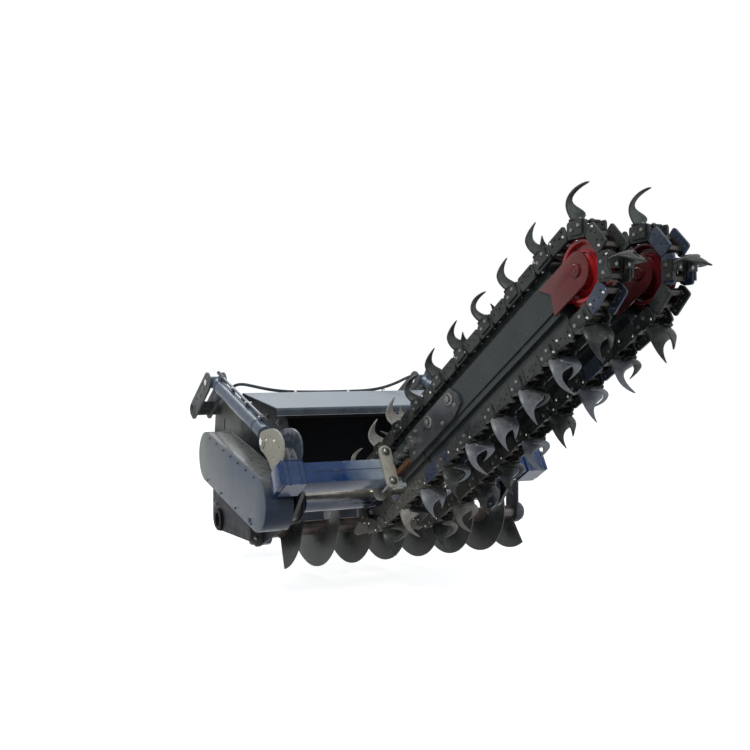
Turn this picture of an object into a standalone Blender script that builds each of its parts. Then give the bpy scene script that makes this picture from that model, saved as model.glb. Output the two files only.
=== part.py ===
"""Three-point mounted double-chain trencher: hitch frame, drive line, lift beam, two chain booms and spoil auger.

Metres, +Z up, +Y towards the tractor, +X to the right seen from behind.
The origin is the middle of the front face of the headstock beam.
"""

import math

import bmesh
import bpy
from mathutils import Matrix, Vector

for old in list(bpy.data.objects):
    bpy.data.objects.remove(old, do_unlink=True)

# ---------------------------------------------------------------- driving dimensions
GAP = 0.0003  # between faces that touch on the real machine
RUN = 0.0008  # round running clearance, over the facets

# Drive axis: the shaft that turns both digging chains, and that the booms swing about.
DRIVE_BACK = 1.45  # behind the headstock face
DRIVE_UP = 0.29  # above the headstock face's middle
BOOM_RISE = math.radians(31.5)  # of the booms in the carrying position

# Digging chains
PITCH = 0.1235  # from one side plate to the next
SPAN_LINKS = 17  # links between the drive axis and the tail axle
WRAP_SIDES = 8  # side plates in a full turn
CHAIN_PHASE = 0.15  # of a link, how far the last joint of the top run has passed the tail axle
CHAIN_IN = 0.025  # side plate, inside the pitch line
CHAIN_OUT = 0.043  # side plate, outside the pitch line
CHAIN_GAUGE = 0.012
CHAIN_HALF_WIDTH = 0.052  # middle of the boom to the outer face of a side plate
CHAIN_PIN_R = 0.011
CUTTER_RISE = 0.118  # cutter tip above the outer edge of the side plates
CUTTER_BELLY = 0.055  # of the cutter's curve, back from its root
CUTTER_FLARE = 0.034  # tip, out to the side
CUTTER_EVERY = 2  # links

# Booms
BOOM_SPACING = 0.308
BOOM_HALF_WIDTH = 0.045
BOOM_TOP = 0.09
BOOM_BOTTOM = -0.05
BOOM_WALL = 0.008
SIDE_RAIL_DEPTH = 0.030
RAIL_HALF_WIDTH = 0.018
RAIL_CLEAR = 0.003  # wear rail to the chain pins
BASE_LENGTH = 0.28
TONGUE_LENGTH = 0.38
BAR_END = 0.178  # tail axle back to the end of the bar

# Tail
WHEEL_R = 0.125
WHEEL_TREAD_R = 0.142
WHEEL_HALF_WIDTH = 0.034
TREAD_HALF_WIDTH = 0.016
FORK_GAUGE = 0.010
FORK_HALF_HEIGHT = 0.074
FORK_LENGTH = 0.24  # tail axle back to the fork's tips
AXLE_R = 0.016

# Lift beam, along the booms from the drive axis
BEAM_FROM = 0.204
BEAM_DEPTH = 0.130
BEAM_TOP = 0.067
BEAM_HEIGHT = 0.114
BEAM_LEFT = -0.851
BEAM_RIGHT = 0.741
BEAM_WALL = 0.008

# Lift lugs on the beam's ends
LUG_GAUGE = 0.012
LUG_SPREAD = 0.097  # middle to middle of a pair of plates
LUG_INSET = 0.031  # end of the beam to the middle of the outer plate
LUG_EYE = (0.149, 0.282)  # rod pin, along and square to the booms
LUG_EYE_R = 0.055
ROD_PIN_R = 0.019
ROD_EYE_HALF_WIDTH = 0.025

# Lift cylinders
CYLINDER_PIVOT = (1.02, 0.60)  # forward of and above the drive axis
BARREL_R = 0.040
BARREL_LENGTH = 0.92
ROD_R = 0.022

# Swing arms, from the beam to the pivot housings
ARM_GAUGE = 0.022
HUB_R = 0.105
HOUSING_R = 0.075
HOUSING_FLANGE_R = 0.100
HOUSING_FLANGE_GAUGE = 0.012

# Frame side plates
SIDE_GAUGE = 0.012
LEFT_SIDE = -0.655  # outer faces
RIGHT_SIDE = 0.552

# Drive shaft
SHAFT_R = 0.035
SLEEVE_R = 0.062
SPROCKET_TIP_R = 0.147
SPROCKET_ROOT_R = 0.118
SPROCKET_HALF_WIDTH = 0.014

# Main chain case, left
CASE_OUTER = -0.872
CASE_WIDTH = 0.155
CASE_R = 0.146
CASE_WALL = 0.006
CROSS_AXIS = (0.88, 0.163)  # upper shaft, forward of and above the drive axis
CROSS_SHAFT_R = 0.0225
CASE_TEETH_UPPER = 14
CASE_TEETH_LOWER = 20
CASE_SPROCKET_R = 0.105  # lower one

# Gearbox and power take-off
GEARBOX_HALF = (0.125, 0.135, 0.125)
GEARBOX_WALL = 0.014
PTO_R = 0.0175
PTO_OUT = 0.030  # stub end, forward of the headstock face
GUARD_R = 0.078

# Auger
AUGER_AXIS = (0.56, -0.25)
AUGER_R = 0.228
AUGER_CORE_R = 0.042
AUGER_PITCH = 0.226
FLIGHT_LEFT = -0.53
FLIGHT_START = math.radians(-69)  # of the left end, up from straight behind
FLIGHT_RIGHT = 1.07
FLIGHT_GAUGE = 0.007
AUGER_BEARING_R = 0.068

# Headstock
HEADSTOCK_DEPTH = 0.12
HEADSTOCK_HEIGHT = 0.12
HEADSTOCK_WALL = 0.008
LOWER_PIN_SPREAD = 0.825
LOWER_PIN_R = 0.014
LOWER_PIN_AHEAD = 0.055
HITCH_LUG_GAUGE = 0.020
SEAT_DEPTH = 0.003  # milled into the headstock for each lug
MAST_HEIGHT = 0.61
TOP_PIN_R = 0.0125
TOP_GAP = 0.052

# Hood
HOOD_LEFT = -0.705
HOOD_RIGHT = 0.602
HOOD_GAUGE = 0.005
HOOD_REAR = (0.13, 0.485)
HOOD_FRONT = (0.70, 0.545)
HOOD_LIP = 0.043

# Cross tube that carries the cylinder brackets
TUBE_AXIS = (1.31, 0.42)
TUBE_R = 0.0375

# ---------------------------------------------------------------- derived
WRAP_STEP = 2 * math.pi / WRAP_SIDES
PITCH_R = PITCH / (2 * math.sin(WRAP_STEP / 2))  # pins, round an axis
RUN_OFFSET = PITCH_R * math.cos(WRAP_STEP * CHAIN_PHASE)  # pitch line of a straight run, off the boom's middle
RUN_PAST = PITCH_R * math.sin(WRAP_STEP * CHAIN_PHASE)  # last joint of a run, past its axis
BOOM_LENGTH = SPAN_LINKS * PITCH  # drive axis to tail axle
BEAM_REAR = BEAM_FROM + BEAM_DEPTH
BEAM_BOTTOM = BEAM_TOP - BEAM_HEIGHT
RAIL_TOP = RUN_OFFSET - CHAIN_PIN_R - RAIL_CLEAR
CASE_INNER = CASE_OUTER + CASE_WIDTH
BOOM_MIDDLES = {"left": -BOOM_SPACING / 2, "right": BOOM_SPACING / 2}
LUG_MIDDLES = {
    "left": BEAM_LEFT + LUG_INSET + LUG_SPREAD / 2,
    "right": BEAM_RIGHT - LUG_INSET - LUG_SPREAD / 2,
}


def on_frame(x, forward, up):
    """A point placed from the drive axis, in the frame's directions."""
    return Vector((x, forward - DRIVE_BACK, up + DRIVE_UP))


def on_boom(x, along, square):
    """A point placed from the drive axis, along the booms and square to them."""
    return on_frame(
        x,
        square * math.sin(BOOM_RISE) - along * math.cos(BOOM_RISE),
        square * math.cos(BOOM_RISE) + along * math.sin(BOOM_RISE),
    )


# ---------------------------------------------------------------- materials
def paint(name, colour, roughness=0.45, metallic=0.0):
    material = bpy.data.materials.new(name)
    material.use_nodes = True
    shader = material.node_tree.nodes["Principled BSDF"]
    shader.inputs["Base Color"].default_value = (*colour, 1.0)
    shader.inputs["Roughness"].default_value = roughness
    shader.inputs["Metallic"].default_value = metallic
    material.diffuse_color = (*colour, 1.0)
    return material


BLUE = paint("blue_paint", (0.045, 0.095, 0.24))
SLATE = paint("slate_paint", (0.075, 0.10, 0.145))
BLACK = paint("black_paint", (0.02, 0.024, 0.026), 0.5)
RED = paint("red_paint", (0.33, 0.018, 0.016), 0.4)
BEIGE = paint("bare_plate", (0.45, 0.43, 0.37), 0.7, 0.3)
STEEL = paint("polished_steel", (0.55, 0.55, 0.57), 0.25, 1.0)
WORN = paint("worn_steel", (0.16, 0.16, 0.155), 0.45, 0.8)
RUST = paint("rusty_steel", (0.14, 0.065, 0.04), 0.8, 0.2)
RUBBER = paint("hose_rubber", (0.015, 0.015, 0.016), 0.7)


# ---------------------------------------------------------------- modelling tools
def add_object(name, bm, material, smooth=False):
    bmesh.ops.remove_doubles(bm, verts=bm.verts, dist=1e-6)
    bmesh.ops.recalc_face_normals(bm, faces=bm.faces)
    mesh = bpy.data.meshes.new(name)
    bm.to_mesh(mesh)
    bm.free()
    mesh.materials.append(material)
    if smooth:
        mesh.shade_smooth()
        mesh.set_sharp_from_angle(angle=math.radians(35))
    item = bpy.data.objects.new(name, mesh)
    bpy.context.scene.collection.objects.link(item)
    return item


def boolean(item, operation, *others):
    """Cuts or joins the helpers, and leaves them out of the render."""
    for other in others:
        modifier = item.modifiers.new(other.name, "BOOLEAN")
        modifier.operation = operation
        modifier.solver = "EXACT"
        modifier.object = other
        other.hide_render = True
        other.display_type = "WIRE"
    return item


def add_prism(bm, outline, x_from, x_to, place):
    """An outline of (along, up) points, pushed out along X."""
    near = [bm.verts.new(place(x_from, a, b)) for a, b in outline]
    face = bm.faces.new(near)
    pushed = bmesh.ops.extrude_face_region(bm, geom=[face])["geom"]
    moved = [part for part in pushed if isinstance(part, bmesh.types.BMVert)]
    bmesh.ops.translate(bm, verts=moved, vec=(x_to - x_from, 0, 0))


def prism(name, outline, x_from, x_to, place, material):
    bm = bmesh.new()
    add_prism(bm, outline, x_from, x_to, place)
    return add_object(name, bm, material)


def box(name, x_range, a_range, b_range, place, material):
    (a0, a1), (b0, b1) = a_range, b_range
    return prism(name, [(a0, b0), (a1, b0), (a1, b1), (a0, b1)], *x_range, place, material)


def add_turned(bm, profile, start, direction, steps):
    """Spins (distance, radius) points about the line from start; a hollow profile is a closed loop."""
    direction = Vector(direction).normalized()
    across = direction.orthogonal().normalized()
    hollow = profile[0][1] > 0 and profile[-1][1] > 0
    points = [bm.verts.new(Vector(start) + direction * d + across * r) for d, r in profile]
    ends = points[1:] + (points[:1] if hollow else [])
    edges = [bm.edges.new(pair) for pair in zip(points, ends)]
    bmesh.ops.spin(
        bm,
        geom=points + edges,
        cent=start,
        axis=direction,
        angle=2 * math.pi,
        steps=steps,
        use_merge=True,
    )
    bmesh.ops.remove_doubles(bm, verts=bm.verts, dist=1e-6)


def turned(name, profile, start, direction, material, steps=16):
    bm = bmesh.new()
    add_turned(bm, profile, start, direction, steps)
    return add_object(name, bm, material, smooth=True)


def bar_profile(length, radius):
    return [(0, 0), (0, radius), (length, radius), (length, 0)]


def ring_profile(length, inner, outer):
    return [(0, inner), (0, outer), (length, outer), (length, inner)]


def drill(name, x_range, centre, radius, place, steps=24):
    """A round cutter along X."""
    start = place(x_range[0], *centre)
    return turned(name, bar_profile(x_range[1] - x_range[0], radius), start, (1, 0, 0), BLACK, steps)


def arc(centre, radius, from_deg, to_deg, steps):
    """Points on a circle in the outline's own plane."""
    points = []
    for i in range(steps + 1):
        angle = math.radians(from_deg + (to_deg - from_deg) * i / steps)
        points.append((centre[0] + radius * math.cos(angle), centre[1] + radius * math.sin(angle)))
    return points


def capsule(low, high, radius, steps=10):
    """The outline round two centres."""
    lean = math.degrees(math.atan2(high[1] - low[1], high[0] - low[0]))
    return arc(low, radius, lean + 90, lean + 270, steps) + arc(high, radius, lean - 90, lean + 90, steps)


# ---------------------------------------------------------------- hitch frame
def make_headstock():
    half_gap = GAP
    left, right = LEFT_SIDE + SIDE_GAUGE + half_gap, RIGHT_SIDE - SIDE_GAUGE - half_gap
    rear, front = DRIVE_BACK - HEADSTOCK_DEPTH, DRIVE_BACK
    low, high = -DRIVE_UP - HEADSTOCK_HEIGHT / 2, -DRIVE_UP + HEADSTOCK_HEIGHT / 2
    wall = HEADSTOCK_WALL
    beam = box("headstock_beam", (left, right), (rear, front), (low, high), on_frame, SLATE)
    inside = box(
        "headstock_inside",
        (left - 0.01, right + 0.01),
        (rear + wall, front - wall),
        (low + wall, high - wall),
        on_frame,
        SLATE,
    )
    seats = []
    for sign in (-1, 1):
        middle = sign * (LOWER_PIN_SPREAD / 2 - 0.032 - HITCH_LUG_GAUGE / 2)
        reach = HITCH_LUG_GAUGE / 2 + 0.012
        seats.append(
            box(f"lug_seat_{sign}", (middle - reach, middle + reach), (front - SEAT_DEPTH, front + 0.01), (low - 0.01, high + 0.01), on_frame, SLATE)
        )
    boolean(beam, "DIFFERENCE", inside, *seats)


def make_lower_hitch(side, sign):
    """A lug welded into a shallow seat, with its fixed pin for the tractor's lower link."""
    middle = sign * LOWER_PIN_SPREAD / 2
    gauge = HITCH_LUG_GAUGE
    pin_at = (DRIVE_BACK + LOWER_PIN_AHEAD, -DRIVE_UP)
    root = DRIVE_BACK - SEAT_DEPTH + GAP
    outline = [(root, -DRIVE_UP - 0.058), (root, -DRIVE_UP + 0.058)]
    outline += arc(pin_at, 0.036, 75, -75, 8)
    inner = middle - sign * 0.032
    bm = bmesh.new()
    add_prism(bm, outline, inner, inner - sign * gauge, on_frame)
    lug = add_object("hitch_lug_" + side, bm, SLATE)
    length = 0.032 + gauge + 0.070
    pin = turned(
        "hitch_stud_" + side,
        [(0.004, 0), (0.004, LOWER_PIN_R), (length - 0.004, LOWER_PIN_R), (length, LOWER_PIN_R - 0.004), (length, 0)],
        on_frame(inner - sign * gauge, *pin_at),
        (sign, 0, 0),
        STEEL,
        16,
    )
    boolean(lug, "UNION", pin)


def make_mast():
    """An A-shaped mast that carries the top link between two ears."""
    foot_up = -DRIVE_UP + HEADSTOCK_HEIGHT / 2 + GAP
    top_up = -DRIVE_UP + MAST_HEIGHT
    rear, front = DRIVE_BACK - 0.085, DRIVE_BACK - 0.015
    half_gap, gauge, foot_x = TOP_GAP / 2, 0.014, 0.235
    bm = bmesh.new()
    add_prism(bm, [(rear, foot_up), (front, foot_up), (front, foot_up + 0.014), (rear, foot_up + 0.014)], -0.27, 0.27, on_frame)
    mast = add_object("top_link_mast", bm, SLATE)
    legs = []
    for sign, side in ((-1, "left"), (1, "right")):
        bm = bmesh.new()
        foot, head = sign * foot_x, sign * (half_gap + gauge / 2)
        rise = [(foot, foot_up + 0.010), (head, top_up - 0.10), (head, top_up + 0.045)]
        verts = []
        for x, up in rise:
            for dx in (-gauge / 2, gauge / 2):
                verts.append([bm.verts.new(on_frame(x + dx, forward, up)) for forward in (rear, front)])
        rows = [verts[2 * i] + verts[2 * i + 1][::-1] for i in range(3)]
        bm.faces.new(rows[0])
        bm.faces.new(rows[2])
        for low, high in zip(rows, rows[1:]):
            for i in range(4):
                bm.faces.new((low[i], low[(i + 1) % 4], high[(i + 1) % 4], high[i]))
        legs.append(add_object("mast_leg_" + side, bm, SLATE))
    tie_x = (foot_x + half_gap) / 2
    tie_up = (foot_up + top_up - 0.10) / 2
    tie = box("mast_tie", (-tie_x, tie_x), (rear + 0.012, front - 0.012), (tie_up - 0.01, tie_up + 0.01), on_frame, SLATE)
    hole = drill("mast_hole", (-0.1, 0.1), (DRIVE_BACK - 0.05, top_up), TOP_PIN_R + RUN, on_frame, 16)
    boolean(mast, "UNION", *legs, tie)
    boolean(mast, "DIFFERENCE", hole)
    reach = half_gap + gauge + 0.012
    turned(
        "top_link_pin",
        [(0, 0), (0, 0.021), (0.009, 0.021), (0.009, TOP_PIN_R), (2 * reach + 0.02, TOP_PIN_R), (2 * reach + 0.02, 0)],
        on_frame(-reach, DRIVE_BACK - 0.05, top_up),
        (1, 0, 0),
        STEEL,
        16,
    )


def side_outline(left):
    """The left plate reaches down to the auger; the right one stays above it."""
    front = DRIVE_BACK
    hood_slope = (HOOD_FRONT[1] - HOOD_REAR[1]) / (HOOD_FRONT[0] - HOOD_REAR[0])
    under = HOOD_REAR[1] - HOOD_GAUGE - GAP - 0.004
    top = [
        (HOOD_REAR[0] + 0.012, under - HOOD_LIP - 0.01),
        (HOOD_REAR[0] + 0.012, under),
        (HOOD_FRONT[0] - 0.02, under + hood_slope * (HOOD_FRONT[0] - HOOD_REAR[0] - 0.032)),
        (HOOD_FRONT[0] - 0.015, HOOD_FRONT[1] - 0.07),
        (HOOD_FRONT[0] + 0.06, HOOD_FRONT[1] - 0.07),
        (TUBE_AXIS[0] - 0.09, TUBE_AXIS[1] + 0.085),
        (TUBE_AXIS[0] + 0.05, TUBE_AXIS[1] + 0.07),
        (front - 0.06, TUBE_AXIS[1] - 0.02),
        (front, 0.06),
    ]
    hub = arc((0, 0), 0.115, -80, -235, 9)
    if left:
        nose = arc((front - 0.075, -DRIVE_UP + 0.004), 0.075, 0, -90, 5)
        under_auger = arc(AUGER_AXIS, 0.080, -80, -125, 4)
        return top + nose + under_auger + hub
    nose = arc((front - 0.075, -DRIVE_UP - 0.045), 0.075, 0, -90, 5)
    return top + nose + [(0.98, -DRIVE_UP - 0.12), (0.86, AUGER_AXIS[1] + AUGER_R + 0.045), (0.3, AUGER_AXIS[1] + AUGER_R + 0.045)] + hub


def make_side_plates():
    reach = SIDE_GAUGE + 0.02
    for side, outer in (("left", LEFT_SIDE), ("right", RIGHT_SIDE - SIDE_GAUGE)):
        left = side == "left"
        plate = prism("frame_side_" + side, side_outline(left), outer, outer + SIDE_GAUGE, on_frame, SLATE)
        span = (outer - 0.01, outer + reach)
        cutters = [
            drill("shaft_hole_" + side, span, (0, 0), SHAFT_R + 0.012, on_frame),
            drill("tube_hole_" + side, span, TUBE_AXIS, TUBE_R + RUN, on_frame),
        ]
        if left:
            cutters.append(drill("cross_hole", span, CROSS_AXIS, CROSS_SHAFT_R + 0.01, on_frame))
            cutters.append(drill("auger_hole", span, AUGER_AXIS, AUGER_CORE_R, on_frame))
            cutters.append(drill("socket_hole", span, (1.30, -DRIVE_UP), 0.045, on_frame))
        boolean(plate, "DIFFERENCE", *cutters)


def make_hood():
    rear, front = HOOD_REAR, HOOD_FRONT
    gauge = HOOD_GAUGE
    outline = [
        (rear[0], rear[1] - HOOD_LIP),
        (rear[0], rear[1]),
        front,
        (front[0] + 0.05, front[1] - 0.055),
        (front[0] + 0.05 - gauge, front[1] - 0.055),
        (front[0] - 0.002, front[1] - gauge),
        (rear[0] + gauge, rear[1] - gauge),
        (rear[0] + gauge, rear[1] - HOOD_LIP),
    ]
    prism("hood_cover", outline, HOOD_LEFT, HOOD_RIGHT, on_frame, SLATE)


def make_front_shield():
    """The wall that keeps spoil off the gearbox, between the side plates and notched round the auger's case."""
    forward, gauge = 0.685, 0.005
    left, right = LEFT_SIDE + SIDE_GAUGE + GAP, RIGHT_SIDE - SIDE_GAUGE - GAP
    low, notch_up, notch_x, high = -0.045, 0.06, left + 0.055, 0.535
    outline = [(left, notch_up), (notch_x, notch_up), (notch_x, low), (right, low), (right, high), (left, high)]
    bm = bmesh.new()
    face = bm.faces.new([bm.verts.new(on_frame(x, forward, up)) for x, up in outline])
    pushed = bmesh.ops.extrude_face_region(bm, geom=[face])["geom"]
    bmesh.ops.translate(bm, verts=[v for v in pushed if isinstance(v, bmesh.types.BMVert)], vec=(0, gauge, 0))
    add_object("front_shield", bm, SLATE)


def make_rear_cross_tube():
    left, right = LEFT_SIDE + SIDE_GAUGE + GAP, RIGHT_SIDE - SIDE_GAUGE - GAP
    turned("rear_cross_tube", ring_profile(right - left, 0.028, 0.035), on_frame(left, 0.56, 0.43), (1, 0, 0), SLATE, 16)


def make_pivot_housings():
    """Fixed housings: the swing arms turn on the outside, the drive shaft on the inside."""
    for side, face, sign, reach in (
        ("left", LEFT_SIDE, -1, LEFT_SIDE - CASE_INNER),
        ("right", RIGHT_SIDE, 1, 0.062),
    ):
        bore = SHAFT_R + RUN
        profile = [
            (GAP, bore),
            (GAP, HOUSING_FLANGE_R),
            (HOUSING_FLANGE_GAUGE, HOUSING_FLANGE_R),
            (HOUSING_FLANGE_GAUGE, HOUSING_R),
            (reach - GAP, HOUSING_R),
            (reach - GAP, bore),
        ]
        turned("pivot_housing_" + side, profile, on_frame(face, 0, 0), (sign, 0, 0), BLACK, 24)


def make_cylinder_brackets():
    left, right = LUG_MIDDLES["left"] - 0.062, LUG_MIDDLES["right"] + 0.062
    turned("bracket_cross_tube", ring_profile(right - left, TUBE_R - 0.007, TUBE_R), on_frame(left, *TUBE_AXIS), (1, 0, 0), SLATE, 16)
    gauge, clear = 0.012, BARREL_R + 0.004
    for side, middle in LUG_MIDDLES.items():
        parts = []
        for sign in (-1, 1):
            start = middle + sign * (clear + gauge / 2) - gauge / 2
            outline = capsule(CYLINDER_PIVOT, TUBE_AXIS, 0.060, 8)
            parts.append(prism(f"bracket_plate_{side}_{sign}", outline, start, start + gauge, on_frame, SLATE))
        ahead = TUBE_AXIS[0] - TUBE_R - 0.055
        web = box(
            "bracket_web_" + side,
            (middle - clear - gauge / 2, middle + clear + gauge / 2),
            (ahead - 0.012, ahead),
            (TUBE_AXIS[1] + 0.005, TUBE_AXIS[1] + 0.055),
            on_frame,
            SLATE,
        )
        bracket = parts[0]
        bracket.name = "cylinder_bracket_" + side
        span = (middle - 0.1, middle + 0.1)
        boolean(bracket, "UNION", web, parts[1])
        boolean(
            bracket,
            "DIFFERENCE",
            drill("bracket_bore_" + side, span, TUBE_AXIS, TUBE_R + RUN, on_frame, 16),
            drill("bracket_pin_bore_" + side, span, CYLINDER_PIVOT, ROD_PIN_R + RUN, on_frame, 12),
        )


# ---------------------------------------------------------------- drive line
def make_main_case():
    shell = capsule((0, 0), CROSS_AXIS, CASE_R)
    hollow = capsule((0, 0), CROSS_AXIS, CASE_R - CASE_WALL)
    cover = CASE_OUTER + CASE_WALL
    body = prism("chain_case", shell, cover + GAP, CASE_INNER, on_frame, SLATE)
    pocket = prism("case_pocket", hollow, cover - 0.01, CASE_INNER - CASE_WALL, on_frame, SLATE)
    span = (CASE_INNER - 0.02, CASE_INNER + 0.02)
    boolean(
        body,
        "DIFFERENCE",
        pocket,
        drill("case_bore_lower", span, (0, 0), SHAFT_R + 0.004, on_frame),
        drill("case_bore_upper", span, CROSS_AXIS, CROSS_SHAFT_R + 0.004, on_frame),
    )
    prism("chain_case_cover", shell, CASE_OUTER, cover, on_frame, SLATE)


def toothed_outline(centre, teeth, root, tip):
    """A sprocket's outline, with blunt teeth."""
    points = []
    for i in range(teeth):
        for share, radius in ((-0.30, root), (-0.12, tip), (0.12, tip), (0.30, root)):
            angle = 2 * math.pi * (i + share) / teeth
            points.append((centre[0] + radius * math.cos(angle), centre[1] + radius * math.sin(angle)))
    return points


def make_sprocket(name, centre, x_from, x_to, teeth, root, tip, bore, place, material):
    wheel = prism(name, toothed_outline(centre, teeth, root, tip), x_from, x_to, place, material)
    return boolean(wheel, "DIFFERENCE", drill(name + "_bore", (x_from - 0.01, x_to + 0.01), centre, bore, place))


def make_drive_shaft():
    """One stepped shaft: journals in the housings, sleeves between the booms, seats under the sprockets."""
    end_left, end_right = CASE_OUTER + 0.055, RIGHT_SIDE + 0.058
    seat = 0.050
    half = SPROCKET_HALF_WIDTH + 0.004
    left, right = BOOM_MIDDLES["left"], BOOM_MIDDLES["right"]
    steps = [
        (end_left, SHAFT_R),
        (LEFT_SIDE + 0.040, SHAFT_R),
        (LEFT_SIDE + 0.040, SLEEVE_R),
        (left - half, SLEEVE_R),
        (left - half, seat),
        (left + half, seat),
        (left + half, SLEEVE_R),
        (right - half, SLEEVE_R),
        (right - half, seat),
        (right + half, seat),
        (right + half, SLEEVE_R),
        (RIGHT_SIDE - 0.040, SLEEVE_R),
        (RIGHT_SIDE - 0.040, SHAFT_R),
        (end_right, SHAFT_R),
    ]
    profile = [(0, 0)] + [(x - end_left, r) for x, r in steps] + [(end_right - end_left, 0)]
    turned("drive_shaft", profile, on_frame(end_left, 0, 0), (1, 0, 0), STEEL, 20)
    for side, middle in BOOM_MIDDLES.items():
        make_sprocket(
            "drive_sprocket_" + side,
            (0, 0),
            middle - SPROCKET_HALF_WIDTH,
            middle + SPROCKET_HALF_WIDTH,
            WRAP_SIDES,
            SPROCKET_ROOT_R,
            SPROCKET_TIP_R,
            seat + RUN,
            on_boom,
            WORN,
        )
    thick = 0.012
    middle = CASE_OUTER + CASE_WIDTH / 2
    make_sprocket(
        "case_sprocket_lower", (0, 0), middle - thick, middle + thick, CASE_TEETH_LOWER,
        CASE_SPROCKET_R - 0.014, CASE_SPROCKET_R, SHAFT_R + RUN, on_frame, WORN,
    )
    upper_r = CASE_SPROCKET_R * CASE_TEETH_UPPER / CASE_TEETH_LOWER
    make_sprocket(
        "case_sprocket_upper", CROSS_AXIS, middle - thick, middle + thick, CASE_TEETH_UPPER,
        upper_r - 0.014, upper_r, CROSS_SHAFT_R + RUN, on_frame, WORN,
    )


def make_gearbox():
    half_x, half_y, half_z = GEARBOX_HALF
    forward, up = CROSS_AXIS
    box_object = box("gearbox_housing", (-half_x, half_x), (forward - half_y, forward + half_y), (up - half_z, up + half_z), on_frame, SLATE)
    wall = GEARBOX_WALL
    inside = box(
        "gearbox_inside",
        (-half_x + wall, half_x - wall),
        (forward - half_y + wall, forward + half_y - wall),
        (up - half_z + wall, up + half_z - wall),
        on_frame,
        SLATE,
    )
    cross_bore = drill("gearbox_cross_bore", (-half_x - 0.02, 0), CROSS_AXIS, CROSS_SHAFT_R + 0.004, on_frame)
    pto_bore = turned("gearbox_pto_bore", bar_profile(0.06, PTO_R + 0.006), on_frame(0, forward + half_y - 0.03, up), (0, 1, 0), SLATE)
    boolean(box_object, "DIFFERENCE", inside, cross_bore, pto_bore)

    # The bevel pinion and wheel are pitch cones with a hair of clearance.
    face, pinion_r, wheel_r = 0.030, 0.042, 0.070
    stub_end = DRIVE_BACK + PTO_OUT - forward
    back = wheel_r
    profile = [
        (back - face, 0),
        (back - face, pinion_r - face * pinion_r / wheel_r),
        (back, pinion_r),
        (back + 0.012, pinion_r),
        (back + 0.012, PTO_R),
        (stub_end, PTO_R),
        (stub_end, 0),
    ]
    turned("pto_shaft", profile, on_frame(0, forward, up), (0, 1, 0), STEEL)
    wheel_face = pinion_r + 0.004
    shaft_end = CASE_OUTER + 0.055
    profile = [
        (0, 0),
        (0, CROSS_SHAFT_R),
        (-shaft_end - wheel_face - 0.016, CROSS_SHAFT_R),
        (-shaft_end - wheel_face - 0.016, wheel_r),
        (-shaft_end - wheel_face, wheel_r),
        (-shaft_end - wheel_face + face * pinion_r / wheel_r, wheel_r - face),
        (-shaft_end - wheel_face + face * pinion_r / wheel_r, 0),
    ]
    turned("cross_shaft", profile, on_frame(shaft_end, *CROSS_AXIS), (1, 0, 0), STEEL)
    guard_start = forward + half_y + GAP
    length = DRIVE_BACK - 0.09 - guard_start
    turned(
        "pto_guard",
        [(0, GUARD_R - 0.022), (0, GUARD_R - 0.018), (length, GUARD_R), (length, GUARD_R - 0.004)],
        on_frame(0, guard_start, up),
        (0, 1, 0),
        BLACK,
    )


def make_auger_case():
    """The drop case, which takes the drive down to the auger, inside the left side plate."""
    outer = LEFT_SIDE + SIDE_GAUGE + GAP
    width, radius = 0.045, 0.078
    body = prism("auger_case", capsule(AUGER_AXIS, CROSS_AXIS, radius, 8), outer, outer + width, on_frame, SLATE)
    pocket = prism("auger_case_pocket", capsule(AUGER_AXIS, CROSS_AXIS, radius - 0.006, 8), outer - 0.01, outer + width - 0.006, on_frame, SLATE)
    span = (outer + width - 0.02, outer + width + 0.02)
    boolean(
        body,
        "DIFFERENCE",
        pocket,
        drill("auger_case_bore_low", span, AUGER_AXIS, AUGER_CORE_R - 0.004, on_frame),
        drill("auger_case_bore_high", span, CROSS_AXIS, CROSS_SHAFT_R + 0.004, on_frame),
    )
    inner = outer + width + GAP
    length = -GEARBOX_HALF[0] - GAP - inner
    turned("cross_shaft_tube", ring_profile(length, CROSS_SHAFT_R + 0.004, 0.045), on_frame(inner, *CROSS_AXIS), (1, 0, 0), SLATE, 16)
    return inner


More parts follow.
